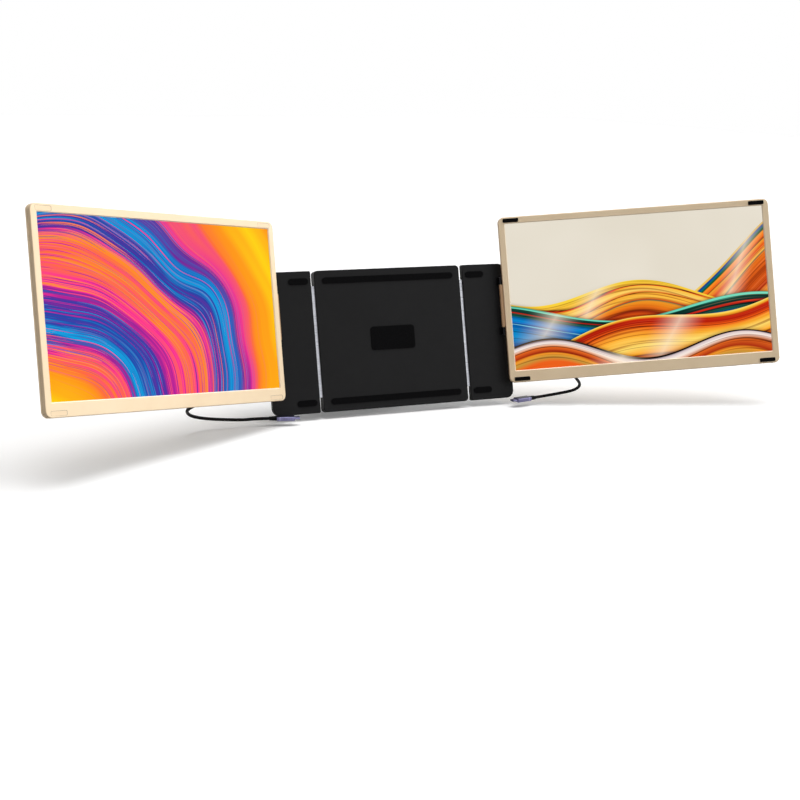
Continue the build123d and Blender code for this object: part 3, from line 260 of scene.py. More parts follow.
# ------------------------------------------------------------ finishes
# Over object coordinates a texture's scale is its repeats in a metre.
BLACK_TONE, WHITE_TONE = (0, 0, 0), (255, 255, 255)
WHITE_LIGHT = (1.0, 1.0, 1.0, 1.0)
MIX_LOW, MIX_HIGH, MIX_RESULT = 6, 7, 2     # colour sockets of a Mix node


def tint(red, green, blue):
    """Linear colour of a colour written as 0 to 255."""
    c = np.array([red, green, blue]) / 255.0
    c = np.where(c <= 0.04045, c / 12.92, ((c + 0.055) / 1.055) ** 2.4)
    return (*map(float, c), 1.0)


class Nodes:
    """A node tree, with one short call for each kind of node."""

    def __init__(self, tree):
        self.tree = tree

    def node(self, kind, **settings):
        made = self.tree.nodes.new(kind)
        for key, value in settings.items():
            setattr(made, key, value)
        return made

    def feed(self, socket, value):
        if isinstance(value, bpy.types.NodeSocket):
            self.tree.links.new(value, socket)
        else:
            socket.default_value = value

    def place(self, kind="Object", turn=(0, 0, 0), scale=(1, 1, 1)):
        """Coordinates of the surface, turned and stretched."""
        source = self.node("ShaderNodeTexCoord").outputs[kind]
        if turn == (0, 0, 0) and scale == (1, 1, 1):
            return source
        mapping = self.node("ShaderNodeMapping")
        self.feed(mapping.inputs["Vector"], source)
        mapping.inputs["Rotation"].default_value = turn
        mapping.inputs["Scale"].default_value = scale
        return mapping.outputs[0]

    def math(self, operation, *values, clamp=False):
        made = self.node("ShaderNodeMath", operation=operation, use_clamp=clamp)
        for socket, value in zip(made.inputs, values):
            self.feed(socket, value)
        return made.outputs[0]

    def scaled(self, value, factor, offset=0.0):
        """value times factor plus offset"""
        return self.math("MULTIPLY_ADD", value, factor, offset)

    def weighed(self, first, share, second):
        """The first value's share and the second's rest."""
        return self.math("ADD", self.scaled(first, share), self.scaled(second, 1 - share))

    def near(self, value, middle, reach):
        """1 where the value is within reach of the middle, else 0."""
        return self.math("LESS_THAN", self.math("ABSOLUTE", self.scaled(value, 1.0, -middle)), reach)

    def split(self, vector):
        made = self.node("ShaderNodeSeparateXYZ")
        self.feed(made.inputs[0], vector)
        return made.outputs[0], made.outputs[1], made.outputs[2]

    def join(self, *parts):
        made = self.node("ShaderNodeCombineXYZ")
        for socket, value in zip(made.inputs, parts):
            self.feed(socket, value)
        return made.outputs[0]

    def noise(self, vector, scale, detail=3.0, roughness=0.5):
        made = self.node("ShaderNodeTexNoise")
        self.feed(made.inputs["Vector"], vector)
        made.inputs["Scale"].default_value = scale
        made.inputs["Detail"].default_value = detail
        made.inputs["Roughness"].default_value = roughness
        return made.outputs[0]

    def cells(self, vector, scale):
        made = self.node("ShaderNodeTexVoronoi")
        self.feed(made.inputs["Vector"], vector)
        made.inputs["Scale"].default_value = scale
        return made.outputs[0]

    def ramp(self, factor, stops):
        """Colours at their places from 0 to 1."""
        made = self.node("ShaderNodeValToRGB")
        self.feed(made.inputs[0], factor)
        elements = made.color_ramp.elements
        while len(elements) < len(stops):
            elements.new(0.5)
        for element, (place, colour) in zip(elements, stops):
            element.position = place
            element.color = tint(*colour)
        return made.outputs[0]

    def tones(self, factor, light, dark, low=0.3, high=0.7):
        """Dark to light as the factor goes from low to high."""
        return self.ramp(factor, [(low, dark), (high, light)])

    def blend(self, factor, low, high, mode="MIX"):
        made = self.node("ShaderNodeMix", data_type="RGBA", blend_type=mode)
        self.feed(made.inputs[0], factor)
        self.feed(made.inputs[MIX_LOW], low)
        self.feed(made.inputs[MIX_HIGH], high)
        return made.outputs[MIX_RESULT]

    def span(self, value, low, high):
        """Low to high as a noise goes through its usual values, 0.25 to 0.75."""
        made = self.node("ShaderNodeMapRange")
        self.feed(made.inputs["Value"], value)
        made.inputs["From Min"].default_value = 0.25
        made.inputs["From Max"].default_value = 0.75
        made.inputs["To Min"].default_value = low
        made.inputs["To Max"].default_value = high
        return made.outputs[0]

    def seen(self):
        """1 for rays that see the surroundings, from the camera, off a gloss or through glass, else 0."""
        rays = self.node("ShaderNodeLightPath")
        indirect = self.math("MAXIMUM", rays.outputs["Is Glossy Ray"], rays.outputs["Is Transmission Ray"])
        return self.math("MAXIMUM", rays.outputs["Is Camera Ray"], indirect)


class Finish(Nodes):
    """A material: its node tree and its shader."""

    def __init__(self, name):
        self.material = bpy.data.materials.new(name)
        self.material.use_nodes = True
        super().__init__(self.material.node_tree)
        self.shader = self.tree.nodes["Principled BSDF"]

    def set(self, **values):
        for key, value in values.items():
            self.feed(self.shader.inputs[key.replace("_", " ")], value)

    def bump(self, height, strength, distance):
        made = self.node("ShaderNodeBump")
        self.feed(made.inputs["Height"], height)
        made.inputs["Strength"].default_value = strength
        made.inputs["Distance"].default_value = distance
        self.feed(self.shader.inputs["Normal"], made.outputs[0])


def anodised(name, light, dark, metallic, roughness):
    """Bead-blasted anodised aluminium: fine grain in bump and roughness, slow tone change over it."""
    made = Finish(name)
    where = made.place()
    grain = made.noise(where, 2600, 2.0, 0.6)
    cloud = made.noise(where, 22, 4.0, 0.55)
    made.set(Base_Color=made.tones(made.weighed(cloud, 0.75, grain), light, dark), Metallic=metallic)
    made.set(Roughness=made.span(made.weighed(cloud, 0.5, grain), roughness - 0.05, roughness + 0.07))
    made.bump(grain, 0.22, 0.06 * MM)
    return made.material


def moulded(name, light, dark, roughness, grain=1500.0, depth=0.08 * MM, strength=0.5, specular=0.5):
    """Moulded plastic: spark-eroded texture of small cells, with a faint flow of tone."""
    made = Finish(name)
    where = made.place()
    pits = made.cells(where, grain)
    fine = made.noise(where, grain * 2.2, 2.0, 0.6)
    flow = made.noise(where, 16)
    made.set(Base_Color=made.tones(made.weighed(flow, 0.7, fine), light, dark))
    made.set(Roughness=made.span(made.weighed(flow, 0.5, pits), roughness - 0.06, roughness + 0.08))
    made.set(Specular_IOR_Level=specular)
    made.bump(made.math("ADD", pits, made.scaled(fine, 0.5)), strength, depth)
    return made.material


def brushed(name, light, dark, roughness, stretch=(12.0, 900.0, 900.0), metallic=1.0):
    """Brushed metal: noise drawn out along the brushing, in tone, roughness and bump."""
    made = Finish(name)
    lines = made.noise(made.place(scale=stretch), 1.0, 4.0, 0.7)
    cloud = made.noise(made.place(), 60, 2.0)
    made.set(Base_Color=made.tones(made.weighed(lines, 0.7, cloud), light, dark), Metallic=metallic)
    made.set(Roughness=made.span(lines, roughness - 0.08, roughness + 0.12))
    made.bump(lines, 0.25, 0.04 * MM)
    return made.material


def rubber(name, light, dark, pitch=1.1 * MM):
    """Rubber with a fine diamond tread: two crossed waves, and dusty tone in the hollows."""
    made = Finish(name)
    x, y, z = made.split(made.place())
    along = made.math("SINE", made.scaled(made.math("ADD", x, z), 2 * pi / pitch))
    across = made.math("SINE", made.scaled(made.math("SUBTRACT", x, z), 2 * pi / pitch))
    tread = made.math("MULTIPLY", along, across)
    dust = made.noise(made.place(), 420, 4.0, 0.6)
    made.set(Base_Color=made.tones(dust, light, dark, low=0.35))
    made.set(Roughness=made.span(dust, 0.72, 0.92), Specular_IOR_Level=0.05)
    made.bump(made.math("ADD", made.scaled(tread, 0.5), made.scaled(dust, 0.6)), 0.35, 0.12 * MM)
    return made.material


def circuit_board():
    """Green solder mask: blocky copper runs under it, and pale pads."""
    made = Finish("solder_mask_board")
    where = made.place()
    runs = made.node("ShaderNodeTexBrick", offset=0.5)
    made.feed(runs.inputs["Vector"], made.place(turn=(pi / 2, 0, 0)))
    runs.inputs["Scale"].default_value = 260
    runs.inputs["Mortar Size"].default_value = 0.035
    pads = made.math("LESS_THAN", made.cells(where, 420), 0.22)
    mask = made.blend(runs.outputs[1], tint(14, 74, 44), tint(24, 104, 62))
    made.set(Base_Color=made.blend(pads, mask, tint(196, 178, 120)))
    made.set(Roughness=made.span(made.noise(where, 300), 0.3, 0.45))
    made.bump(runs.outputs[1], 0.3, 0.05 * MM)
    return made.material


def plug_metal():
    """Grey anodised plug: lengthwise streaks, a bright turned ring near the cable, and broad faces darkened
    by a painted reflection.
    """
    made = Finish("grey_anodised_plug")
    u, v, _ = made.split(made.place("UV"))
    streaks = made.noise(made.join(made.scaled(u, 3.0), made.scaled(v, 46.0), 0.0), 1.0, 3.0, 0.6)
    body = made.ramp(streaks, [(0.28, (80, 79, 106)), (0.5, (110, 108, 142)), (0.72, (142, 139, 176))])
    ring = made.near(u, RING_MIDDLE, RING_HALF)
    metal = made.blend(ring, body, tint(138, 135, 170))
    # v is 0 at one narrow side and 1 at the other, so both broad faces lie near its middle; their dark tone
    # is a painted reflection
    broad = made.near(v, BROAD_MIDDLE, BROAD_HALF)
    broad = made.math("MULTIPLY", broad, made.math("GREATER_THAN", u, DARK_REFLECTION_START))
    made.set(Base_Color=made.blend(broad, metal, tint(34, 33, 44)), Metallic=0.75)
    made.set(Roughness=made.span(streaks, 0.26, 0.42))
    made.bump(streaks, 0.2, 0.04 * MM)
    return made.material


def cable_jacket():
    """Soft black jacket: faint lengthwise draw lines and a fine matte skin."""
    made = Finish("soft_black_jacket")
    u, v, _ = made.split(made.place("UV"))
    draw = made.noise(made.join(made.scaled(u, 30.0), made.scaled(v, 24.0), 0.0), 1.0, 3.0, 0.6)
    tone = made.weighed(draw, 0.5, made.noise(made.place(), 2400, 2.0, 0.6))
    made.set(Base_Color=made.tones(tone, (13, 13, 14), (3, 3, 4)))
    made.set(Roughness=made.span(tone, 0.42, 0.6), Specular_IOR_Level=0.1)
    made.bump(tone, 0.3, 0.05 * MM)
    return made.material


def panel_film():
    """Dark edge of the liquid crystal panel: near-black film with faint dust."""
    made = Finish("dark_panel_film")
    dust = made.noise(made.place(), 900, 3.0, 0.6)
    made.set(Base_Color=made.tones(dust, (22, 22, 27), (10, 10, 13)))
    made.set(Roughness=made.span(dust, 0.16, 0.28))
    made.bump(dust, 0.08, 0.02 * MM)
    return made.material


def lit(finish, picture):
    """A lit panel: the picture is given out as light behind a faintly glossy face."""
    finish.set(Base_Color=(0.001, 0.001, 0.001, 1.0), Roughness=0.18, Specular_IOR_Level=0.02)
    finish.set(Emission_Color=picture, Emission_Strength=1.0)
    return finish.material


def feathered_arcs():
    """Left picture: arcs about a point below the lower corner, drawn out into fine feathered streaks.

    A ramp of colours follows the distance from that point; noise stretched along the arcs moves it
    into streaks, least in the two broad glowing lobes, and hair lines take a neighbouring colour."""
    made = Finish("lit_panel_feathered_arcs")
    u, v, _ = made.split(made.place("UV"))
    wide = made.scaled(u, PANEL_RATIO)
    sway = made.noise(made.join(wide, v, 0.0), 1.15, 1.0, 0.4)
    lift = made.noise(made.join(v, wide, 4.0), 0.9, 1.0)
    x = made.math("ADD", made.scaled(u, PANEL_RATIO, 0.42), made.scaled(sway, 0.5, -0.25))
    y = made.math("ADD", made.scaled(v, 1.0, 0.66), made.scaled(lift, 0.5, -0.25))
    reach = made.math("SQRT", made.math("ADD", made.math("MULTIPLY", x, x), made.math("MULTIPLY", y, y)))
    turn = made.math("ARCTAN2", y, x)
    fan = made.scaled(made.math("SINE", made.scaled(turn, 2.1, 0.2)), 0.34, 0.92)
    band = made.math("DIVIDE", made.scaled(reach, 1.0, -0.55), fan)

    def drawn(rate, bend, seed, detail, roughness):
        """Noise stretched along the arcs."""
        where = made.join(made.scaled(band, rate), made.scaled(turn, bend), seed)
        return made.noise(where, 1.0, detail, roughness)

    broad = drawn(6.0, 0.8, 1.5, 2.0, 0.5)
    calm = made.math("ADD", made.scaled(band, 0.54, -0.05), made.scaled(broad, 0.18, -0.09))
    dim = (16, 16, 16)
    busy = made.ramp(calm, [(0.12, dim), (0.2, WHITE_TONE), (0.6, WHITE_TONE), (0.68, dim)])
    fine = drawn(46.0, 0.9, 7.0, 4.0, 0.7)
    tone = made.math("ADD", calm, made.math("MULTIPLY", busy, made.scaled(fine, 0.2, -0.1)))
    colours = [
        (0.0, (255, 146, 10)), (0.07, (255, 214, 0)), (0.13, (255, 150, 16)), (0.165, (255, 104, 60)),
        (0.195, (250, 50, 140)), (0.215, (146, 26, 148)), (0.24, (20, 92, 180)), (0.265, (0, 164, 226)),
        (0.30, (22, 70, 170)), (0.335, (80, 44, 158)), (0.37, (168, 26, 148)), (0.405, (255, 50, 144)),
        (0.44, (255, 100, 70)), (0.475, (255, 150, 16)), (0.50, (250, 54, 140)), (0.525, (112, 34, 150)),
        (0.555, (32, 56, 162)), (0.585, (0, 160, 224)), (0.615, (10, 100, 190)), (0.64, (104, 32, 150)),
        (0.665, (240, 46, 144)), (0.69, (255, 108, 50)), (0.73, (255, 150, 10)), (0.8, (255, 210, 0)),
        (0.88, (255, 160, 10)), (1.0, (255, 116, 30))]
    ahead = made.ramp(made.scaled(tone, 1.0, 0.055), colours)
    behind = made.ramp(made.scaled(tone, 1.0, -0.06), colours)
    hairs = drawn(170.0, 1.3, 11.0, 2.0, 0.5)
    shown = made.scaled(busy, 0.8, 0.12)
    picture = made.ramp(tone, colours)
    for test, limit, hair in (("GREATER_THAN", 0.62, ahead), ("LESS_THAN", 0.38, behind)):
        picture = made.blend(made.math("MULTIPLY", made.math(test, hairs, limit), shown), picture, hair)
    return lit(made, picture)


def flowing_ribbons():
    """Right picture: pale ground and silk ribbons, each painted below its own crest line."""
    made = Finish("lit_panel_flowing_ribbons")
    u, v, _ = made.split(made.place("UV"))
    cloud = made.noise(made.join(made.scaled(u, PANEL_RATIO), v, 0.0), 1.3, 2.0)
    ground = made.tones(made.scaled(cloud, 0.4, 0.2), (238, 231, 217), (225, 217, 200), high=0.6)

    def crest(base, slope, *waves):
        """Height of a ribbon's edge: a line plus sine waves across the picture."""
        height = made.scaled(u, slope, base)
        for size, rate, phase in waves:
            wave = made.math("SINE", made.scaled(u, rate, phase))
            height = made.math("ADD", height, made.scaled(wave, size))
        return height

    def ribbon(under, edge, width, seed, glint, shadow_dark, colours):
        """Silk below an edge line: long smooth folds, hair-fine threads, and one soft glint across it.

        The folds shift the colours by nothing at the crest, and the ribbon shades what lies above it."""
        depth = made.math("SUBTRACT", edge, v)
        inside = made.math("MULTIPLY", depth, 900.0, clamp=True)
        shadow = made.math("MULTIPLY", made.math("ADD", depth, 0.03), 33.0, clamp=True)
        shadow = made.math("MULTIPLY", shadow, shadow)
        folds = made.noise(made.join(made.scaled(depth, 3.4), made.scaled(u, 1.5), seed), 1.0, 1.0, 0.4)
        threads = made.noise(made.join(made.scaled(depth, 90.0), made.scaled(u, 1.4), seed + 5), 1.0, 2.0)
        along = made.math("DIVIDE", depth, width)
        rise = made.math("MULTIPLY", along, 5.0, clamp=True)
        shift = made.math("MULTIPLY", made.scaled(folds, 0.8, -0.4), rise)
        place = made.math("ADD", made.math("ADD", along, shift), made.scaled(threads, 0.06, -0.03))
        shade = made.ramp(threads, [(0.36, (150, 84, 56)), (0.45, WHITE_TONE), (0.6, WHITE_TONE)])
        silk = made.blend(0.6, made.ramp(place, colours), shade, "MULTIPLY")
        light = made.tones(threads, (110, 84, 50), BLACK_TONE, low=0.6, high=0.68)
        silk = made.blend(0.8, silk, light, "ADD")
        away = made.math("ADD", made.scaled(u, 1.0, -glint), made.scaled(depth, 0.35))
        away = made.math("MULTIPLY", made.math("ABSOLUTE", away), 9.0, clamp=True)
        gleam = made.math("SUBTRACT", 1.0, away)
        gleam = made.math("MULTIPLY", made.math("MULTIPLY", gleam, gleam), 0.55)
        silk = made.blend(gleam, silk, tint(255, 240, 214))
        under = made.blend(made.scaled(shadow, shadow_dark), under, tint(86, 40, 24), "MULTIPLY")
        return made.blend(inside, under, silk)

    # each ribbon's colours from its crest down, with thin lines of dark, red and sea green
    sail = [(0.0, (255, 228, 120)), (0.05, (246, 190, 70)), (0.07, (12, 50, 130)), (0.12, (10, 90, 150)),
            (0.15, (14, 110, 70)), (0.2, (12, 60, 40)), (0.22, (250, 150, 30)), (0.34, (240, 100, 24)),
            (0.36, (60, 16, 8)), (0.38, (252, 170, 50)), (0.5, (226, 70, 16)), (0.62, (252, 190, 80)),
            (0.64, (20, 90, 70)), (0.68, (240, 120, 30)), (0.85, (190, 50, 12)), (1.0, (250, 170, 60))]
    gold = [(0.0, (250, 216, 60)), (0.05, (252, 196, 60)), (0.07, (70, 16, 8)), (0.085, (240, 62, 18)),
            (0.1, (250, 190, 60)), (0.2, (255, 214, 104)), (0.27, (226, 110, 26)), (0.285, (60, 14, 8)),
            (0.30, (246, 170, 50)), (0.4, (255, 196, 70)), (0.46, (206, 66, 16)), (0.475, (22, 100, 76)),
            (0.5, (240, 150, 34)), (0.6, (232, 112, 20)), (0.7, (130, 26, 10)), (0.8, (228, 84, 16)),
            (1.0, (250, 160, 40))]
    sea = [(0.0, (20, 120, 96)), (0.04, (120, 240, 210)), (0.055, (12, 70, 56)), (0.12, (10, 44, 40)),
           (0.15, (236, 40, 12)), (0.17, (8, 28, 30)), (0.26, (14, 92, 78)), (0.3, (0, 90, 150)),
           (0.42, (0, 134, 208)), (0.5, (0, 96, 180)), (0.52, (140, 226, 240)), (0.54, (0, 84, 160)),
           (0.7, (0, 140, 204)), (0.86, (0, 84, 160)), (1.0, (6, 46, 96))]
    ember = [(0.0, (255, 232, 120)), (0.03, (250, 190, 50)), (0.08, (206, 44, 10)), (0.2, (176, 24, 6)),
             (0.32, (236, 84, 16)), (0.34, (80, 12, 4)), (0.36, (240, 100, 24)), (0.5, (250, 176, 50)),
             (0.62, (255, 222, 110)), (0.74, (246, 160, 30)), (0.76, (120, 30, 8)), (0.78, (240, 120, 24)),
             (1.0, (200, 40, 10))]
    night = [(0.0, (40, 20, 12)), (0.05, (12, 8, 8)), (0.1, (214, 196, 200)), (0.2, (250, 236, 226)),
             (0.34, (206, 120, 70)), (0.36, (90, 30, 14)), (0.4, (226, 100, 30)), (0.6, (170, 44, 14)),
             (0.7, (240, 150, 40)), (0.85, (196, 150, 60)), (1.0, (236, 96, 26))]
    # from the back to the front: edge, width, seed, glint, shadow, colours
    ribbons = [
        (crest(-0.22, 0.98, (0.12, 6.2, 1.6), (0.03, 13.0, 0.0)), 0.42, 1.0, 0.93, 0.0, sail),
        (crest(0.52, -0.1, (0.085, 7.4, 4.1)), 0.34, 5.0, 0.34, 0.06, gold),
        (crest(0.38, -0.04, (0.075, 6.0, 2.2)), 0.32, 9.0, 0.18, 0.5, sea),
        (crest(0.08, 0.34, (0.07, 6.6, 5.2)), 0.36, 14.0, 0.66, 0.55, ember),
        (crest(0.13, -0.05, (0.08, 8.4, 0.4)), 0.2, 20.0, 0.42, 0.5, night)]
    picture = ground
    for drawing in ribbons:
        picture = ribbon(picture, *drawing)
    return lit(made, picture)


GOLD = anodised("champagne_anodised_casing", (250, 227, 191), (243, 217, 179), 0.12, 0.42)
# copies of the casing's gold: a painted shade for the rim and side walls, a painted highlight for the
# window's bevel
GOLD_RIM_PAINTED_SHADE = anodised("painted_shade_champagne_rim", (236, 210, 174), (222, 195, 158), 0.15, 0.5)
GOLD_BEVEL_PAINTED_HIGHLIGHT = anodised("painted_highlight_window_bevel", (253, 238, 212), (247, 229, 200), 0.1, 0.4)
GOLD_REAR = anodised("champagne_anodised_rear", (226, 200, 164), (218, 192, 155), 0.35, 0.42)
GOLD_PAD = anodised("champagne_pad", (248, 224, 188), (240, 213, 175), 0.12, 0.46)
# the knuckle's darker gold is painted shade
KNUCKLE_PAINTED_SHADE = anodised("painted_shade_gold_knuckle", (196, 160, 122), (178, 142, 106), 0.3, 0.5)
# dark seam bead; on the pad outlines its heavier top and hinge end are painted shadow
SEAM_AND_PAINTED_SHADOW = moulded("dark_gold_seam_and_painted_shadow", (168, 143, 112), (140, 117, 90), 0.6)
BLACK = moulded("black_spark_texture", (22, 22, 23), (14, 14, 15), 0.5, specular=0.12)
ACETAL = moulded("natural_acetal", (232, 228, 214), (216, 211, 196), 0.36, 900.0, 0.03 * MM, 0.3)
FIBRE = moulded("friction_fibre", (196, 180, 140), (150, 132, 96), 0.7, 2600.0, 0.06 * MM)
BOOT = moulded("soft_black_boot", (11, 11, 12), (3, 3, 4), 0.55, 2200.0, 0.04 * MM, 0.4, 0.08)
STEEL = brushed("brushed_steel", (196, 198, 204), (150, 152, 158), 0.3)
BLACK_STEEL = brushed("black_oxide_steel", (40, 40, 42), (20, 20, 22), 0.4)
PIN_STEEL = brushed("turned_pin_steel", (206, 207, 210), (158, 160, 165), 0.26, (900.0, 900.0, 20.0))
BLACK_PIN = brushed("blackened_hinge_pin", (34, 33, 33), (16, 16, 17), 0.42, (900.0, 900.0, 20.0), 0.4)
NICKEL = brushed("nickel_plate", (214, 210, 204), (182, 178, 172), 0.16, (200.0, 200.0, 200.0))
PORT = brushed("satin_port_shell", (200, 200, 204), (160, 160, 166), 0.24, (300.0, 300.0, 40.0))
SCREW = brushed("blackened_screw", (70, 68, 66), (38, 37, 36), 0.34, (700.0, 700.0, 700.0))
GOLD_SCREW = brushed("gilt_screw", (206, 182, 146), (160, 138, 106), 0.3, (700.0, 700.0, 700.0))
RUBBER = rubber("black_tread_rubber", (12, 12, 13), (3, 3, 4))
BOARD = circuit_board()
PLUG = plug_metal()
JACKET = cable_jacket()
PANEL = panel_film()

NODE_FINISH = {
    "core_front_plate": BLACK, "core_rear_cover": BLACK, "kickstand_plate": BLACK,
    "lid_pads": RUBBER, "kickstand_foot": RUBBER, "lid_magnets": NICKEL,
    "pinion_axle": PIN_STEEL, "kickstand_pin": STEEL, "kickstand_discs": FIBRE, "sync_pinion": ACETAL,
    "left_corner_pads": GOLD_PAD, "right_corner_pads": RUBBER,
}
SIDE_FINISH = {
    "arm_shell": BLACK, "arm_cover": BLACK, "arm_pads": RUBBER, "slide_plate": STEEL, "hinge_pin": BLACK_PIN,
    "friction_discs": FIBRE, "rack": ACETAL, "hinge_leaf": BLACK_STEEL, "bezel": GOLD,
    "hinge_knuckle": KNUCKLE_PAINTED_SHADE, "power_key": GOLD_REAR, "menu_key": GOLD_REAR, "display_panel": PANEL,
    "screen_cover": GOLD_REAR, "driver_board": BOARD, "usb_ports": PORT, "lead": JACKET,
    "laptop_plug": PLUG, "screen_plug": PLUG, "laptop_boot": BOOT, "screen_boot": BOOT,
}
NODE_FINISH.update({f"{side}_{node}": made for side in SIDES for node, made in SIDE_FINISH.items()})


# ------------------------------------------------------------ CAD pieces, finished
SMOOTHED = {
    "core": ["core_front_plate", "core_rear_cover", "lid_pads", "kickstand_pin"],
    "kickstand": ["kickstand_plate", "kickstand_foot"],
}
SIDE_SMOOTHED = {
    "arm": ["arm_shell", "arm_cover", "arm_pads", "hinge_leaf", "hinge_pin"],
    "screen": ["bezel", "screen_cover", "hinge_knuckle", "corner_pads"],
    "power_key_body": ["power_key"],
    "menu_key_body": ["menu_key"],
}
for side in SIDES:
    for body, nodes in SIDE_SMOOTHED.items():
        SMOOTHED[f"{side}_{body}"] = [f"{side}_{node}" for node in nodes]


def frame_parts(mesh, side):
    """0 on a screen frame's flat face, 1 on its rim and side walls, 2 on the bevel of its window.

    The rim is what lies within RIM of the rounded outline, by the distance of each face's middle. The rim
    takes a painted shade and the bevel a painted highlight."""
    middle = np.zeros(len(mesh.polygons) * 3)
    mesh.polygons.foreach_get("center", middle)
    x, y, z = middle.reshape(-1, 3).T / MM
    across, back = WAY[side] * x - AXIS_X, y * cos(LEAN) - z * sin(LEAN) - AXIS_Y[side]
    s = across * cos(OPEN[side]) - back * sin(OPEN[side])
    depth = across * sin(OPEN[side]) + back * cos(OPEN[side])
    up = y * sin(LEAN) + z * cos(LEAN)
    u = abs(s - SCREEN_MIDDLE[0]) - SCREEN_HALF[0] + CASING_CORNER
    v = abs(up - SCREEN_MIDDLE[1]) - SCREEN_HALF[1] + CASING_CORNER
    inset = CASING_CORNER - np.hypot(np.maximum(u, 0), np.maximum(v, 0)) - np.minimum(np.maximum(u, v), 0)
    # the bevel faces take a painted highlight, the rim a painted shade
    bevel = (inset > 3 * RIM) & (depth > FACE_SKIN - HALF_SCREEN) & (depth < PANEL_FRONT)
    return np.where(inset < RIM, 1, np.where(bevel, 2, 0)).astype(np.int32)


def smoothed(node, body):
    """The node's own mesh, merged, with soft shading over its fillets and sharp shading at its corners."""
    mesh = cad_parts[node].data.copy()
    mesh.name = f"{node}_smooth"
    for name in ("custom_normal", "sharp_edge", "sharp_face"):
        if name in mesh.attributes:
            mesh.attributes.remove(mesh.attributes[name])
    work = bmesh.new()
    work.from_mesh(mesh)
    bmesh.ops.remove_doubles(work, verts=work.verts, dist=MERGE)
    work.to_mesh(mesh)
    work.free()
    mesh.polygons.foreach_set("use_smooth", np.full(len(mesh.polygons), True))
    mesh.set_sharp_from_angle(angle=SHARP_NODE)
    mesh.materials.clear()
    mesh.materials.append(NODE_FINISH[node])
    if node.endswith("bezel"):
        # rim in a painted shade, window bevel in a painted highlight
        mesh.materials.append(GOLD_RIM_PAINTED_SHADE)
        mesh.materials.append(GOLD_BEVEL_PAINTED_HIGHLIGHT)
        mesh.polygons.foreach_set("material_index", frame_parts(mesh, node.split("_")[0]))
    made = bpy.data.objects.new(f"{node}_smooth", mesh)
    bpy.context.scene.collection.objects.link(made)
    weighted = made.modifiers.new("even_faces", "WEIGHTED_NORMAL")
    weighted.keep_sharp = True
    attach(made, body)
    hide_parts(node)


for name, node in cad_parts.items():
    node.data.materials.clear()
    node.data.materials.append(NODE_FINISH[name])
for body, nodes in SMOOTHED.items():
    for name in nodes:
        smoothed(name, body)


# ------------------------------------------------------------ lit panels
def lit_panel(side, finish):
    """Face of the panel in the bezel's window: a flat grid, with its own UV over the window."""
    s0, s1, z0, z1 = WINDOW
    u, v = np.meshgrid(*(np.linspace(0, 1, count) for count in PANEL_GRID), indexing="ij")
    s = s0 - PANEL_LAP + u * (s1 - s0 + 2 * PANEL_LAP)
    if side == "left":
        s = s0 + s1 - s
    z = z0 - PANEL_LAP + v * (z1 - z0 + 2 * PANEL_LAP)
    points = on_screen(side)(s, PANEL_FRONT - PANEL_FILM, z)
    made = piece(f"{side}_lit_panel", points, quads(*u.shape), f"{side}_screen", finish,
                 uv=np.stack([u, v], -1), smooth=False)


lit_panel("left", feathered_arcs())
lit_panel("right", flowing_ribbons())


# ------------------------------------------------------------ plugs, boots and leads
def plug_body(name, place, body, node, flip):
    """USB-C plug: rounded sections along its length, out over the shell and tongue and back inside it.

    v runs from 0 to 1 over one half of its way round, and back over the other."""
    half_w, half_t = PLUG_WIDTH / 2, PLUG_THICKNESS / 2
    shell = [(along, half_w - inset, half_t - inset, PLUG_CORNER - inset / 2) for along, inset in SHELL]
    along, through, across = sections(TONGUE + shell, PLUG_TURN)
    around = (1 - abs(np.linspace(-1, 1, along.shape[1])))[None] * np.ones_like(along)
    points = place(along, through, across)
    made = piece(name, points, capped(*along.shape), body, PLUG, flip, np.stack([along, around], -1))
    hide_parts(node)
    return made


def ribbed_boot(name, place, body, node, flip):
    """Strain relief: sections that taper to the cable, pinched in by a row of grooves.

    The pinch follows a cosine wave from the first groove to the last, and is nothing at the ends."""
    share = np.linspace(0, 1, BOOT_STEPS)
    wave = np.clip((share - GROOVES_START) / GROOVES_SPAN, 0, 1)
    groove = 0.5 - 0.5 * np.cos(2 * pi * BOOT_GROOVES * wave)
    taper = 1 - (1 - BOOT_TAPER) * share
    half_w = BOOT_WIDTH / 2 * taper - PINCH_WIDE * groove
    half_t = BOOT_THICKNESS / 2 * taper - PINCH_THIN * groove
    half_w[[0, -1]] -= END_WIDE
    half_t[[0, -1]] -= END_THIN
    corner = BOOT_ROUND * np.minimum(half_w, half_t)
    stations = list(zip(PLUG_LENGTH + share * BOOT_LENGTH, half_w, half_t, corner))
    along, through, across = sections(stations, BOOT_TURN)
    made = piece(name, place(along, through, across), capped(*along.shape), body, BOOT, flip)
    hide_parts(node)
    return made


def spline_line(points):
    """Points along a smooth open spline drawn through the pull of its control points."""
    data = bpy.data.curves.new("lead_line", "CURVE")
    data.dimensions = "3D"
    data.resolution_u = LEAD_STEPS
    spline = data.splines.new("NURBS")
    spline.points.add(len(points) - 1)
    spline.points.foreach_set("co", np.column_stack([points, np.ones(len(points))]).ravel())
    spline.order_u = 3
    spline.use_endpoint_u = True
    holder = bpy.data.objects.new("lead_line", data)
    bpy.context.scene.collection.objects.link(holder)
    mesh = bpy.data.meshes.new_from_object(holder)
    line = np.zeros(len(mesh.vertices) * 3)
    mesh.vertices.foreach_get("co", line)
    bpy.data.objects.remove(holder)
    bpy.data.meshes.remove(mesh)
    return line.reshape(-1, 3)


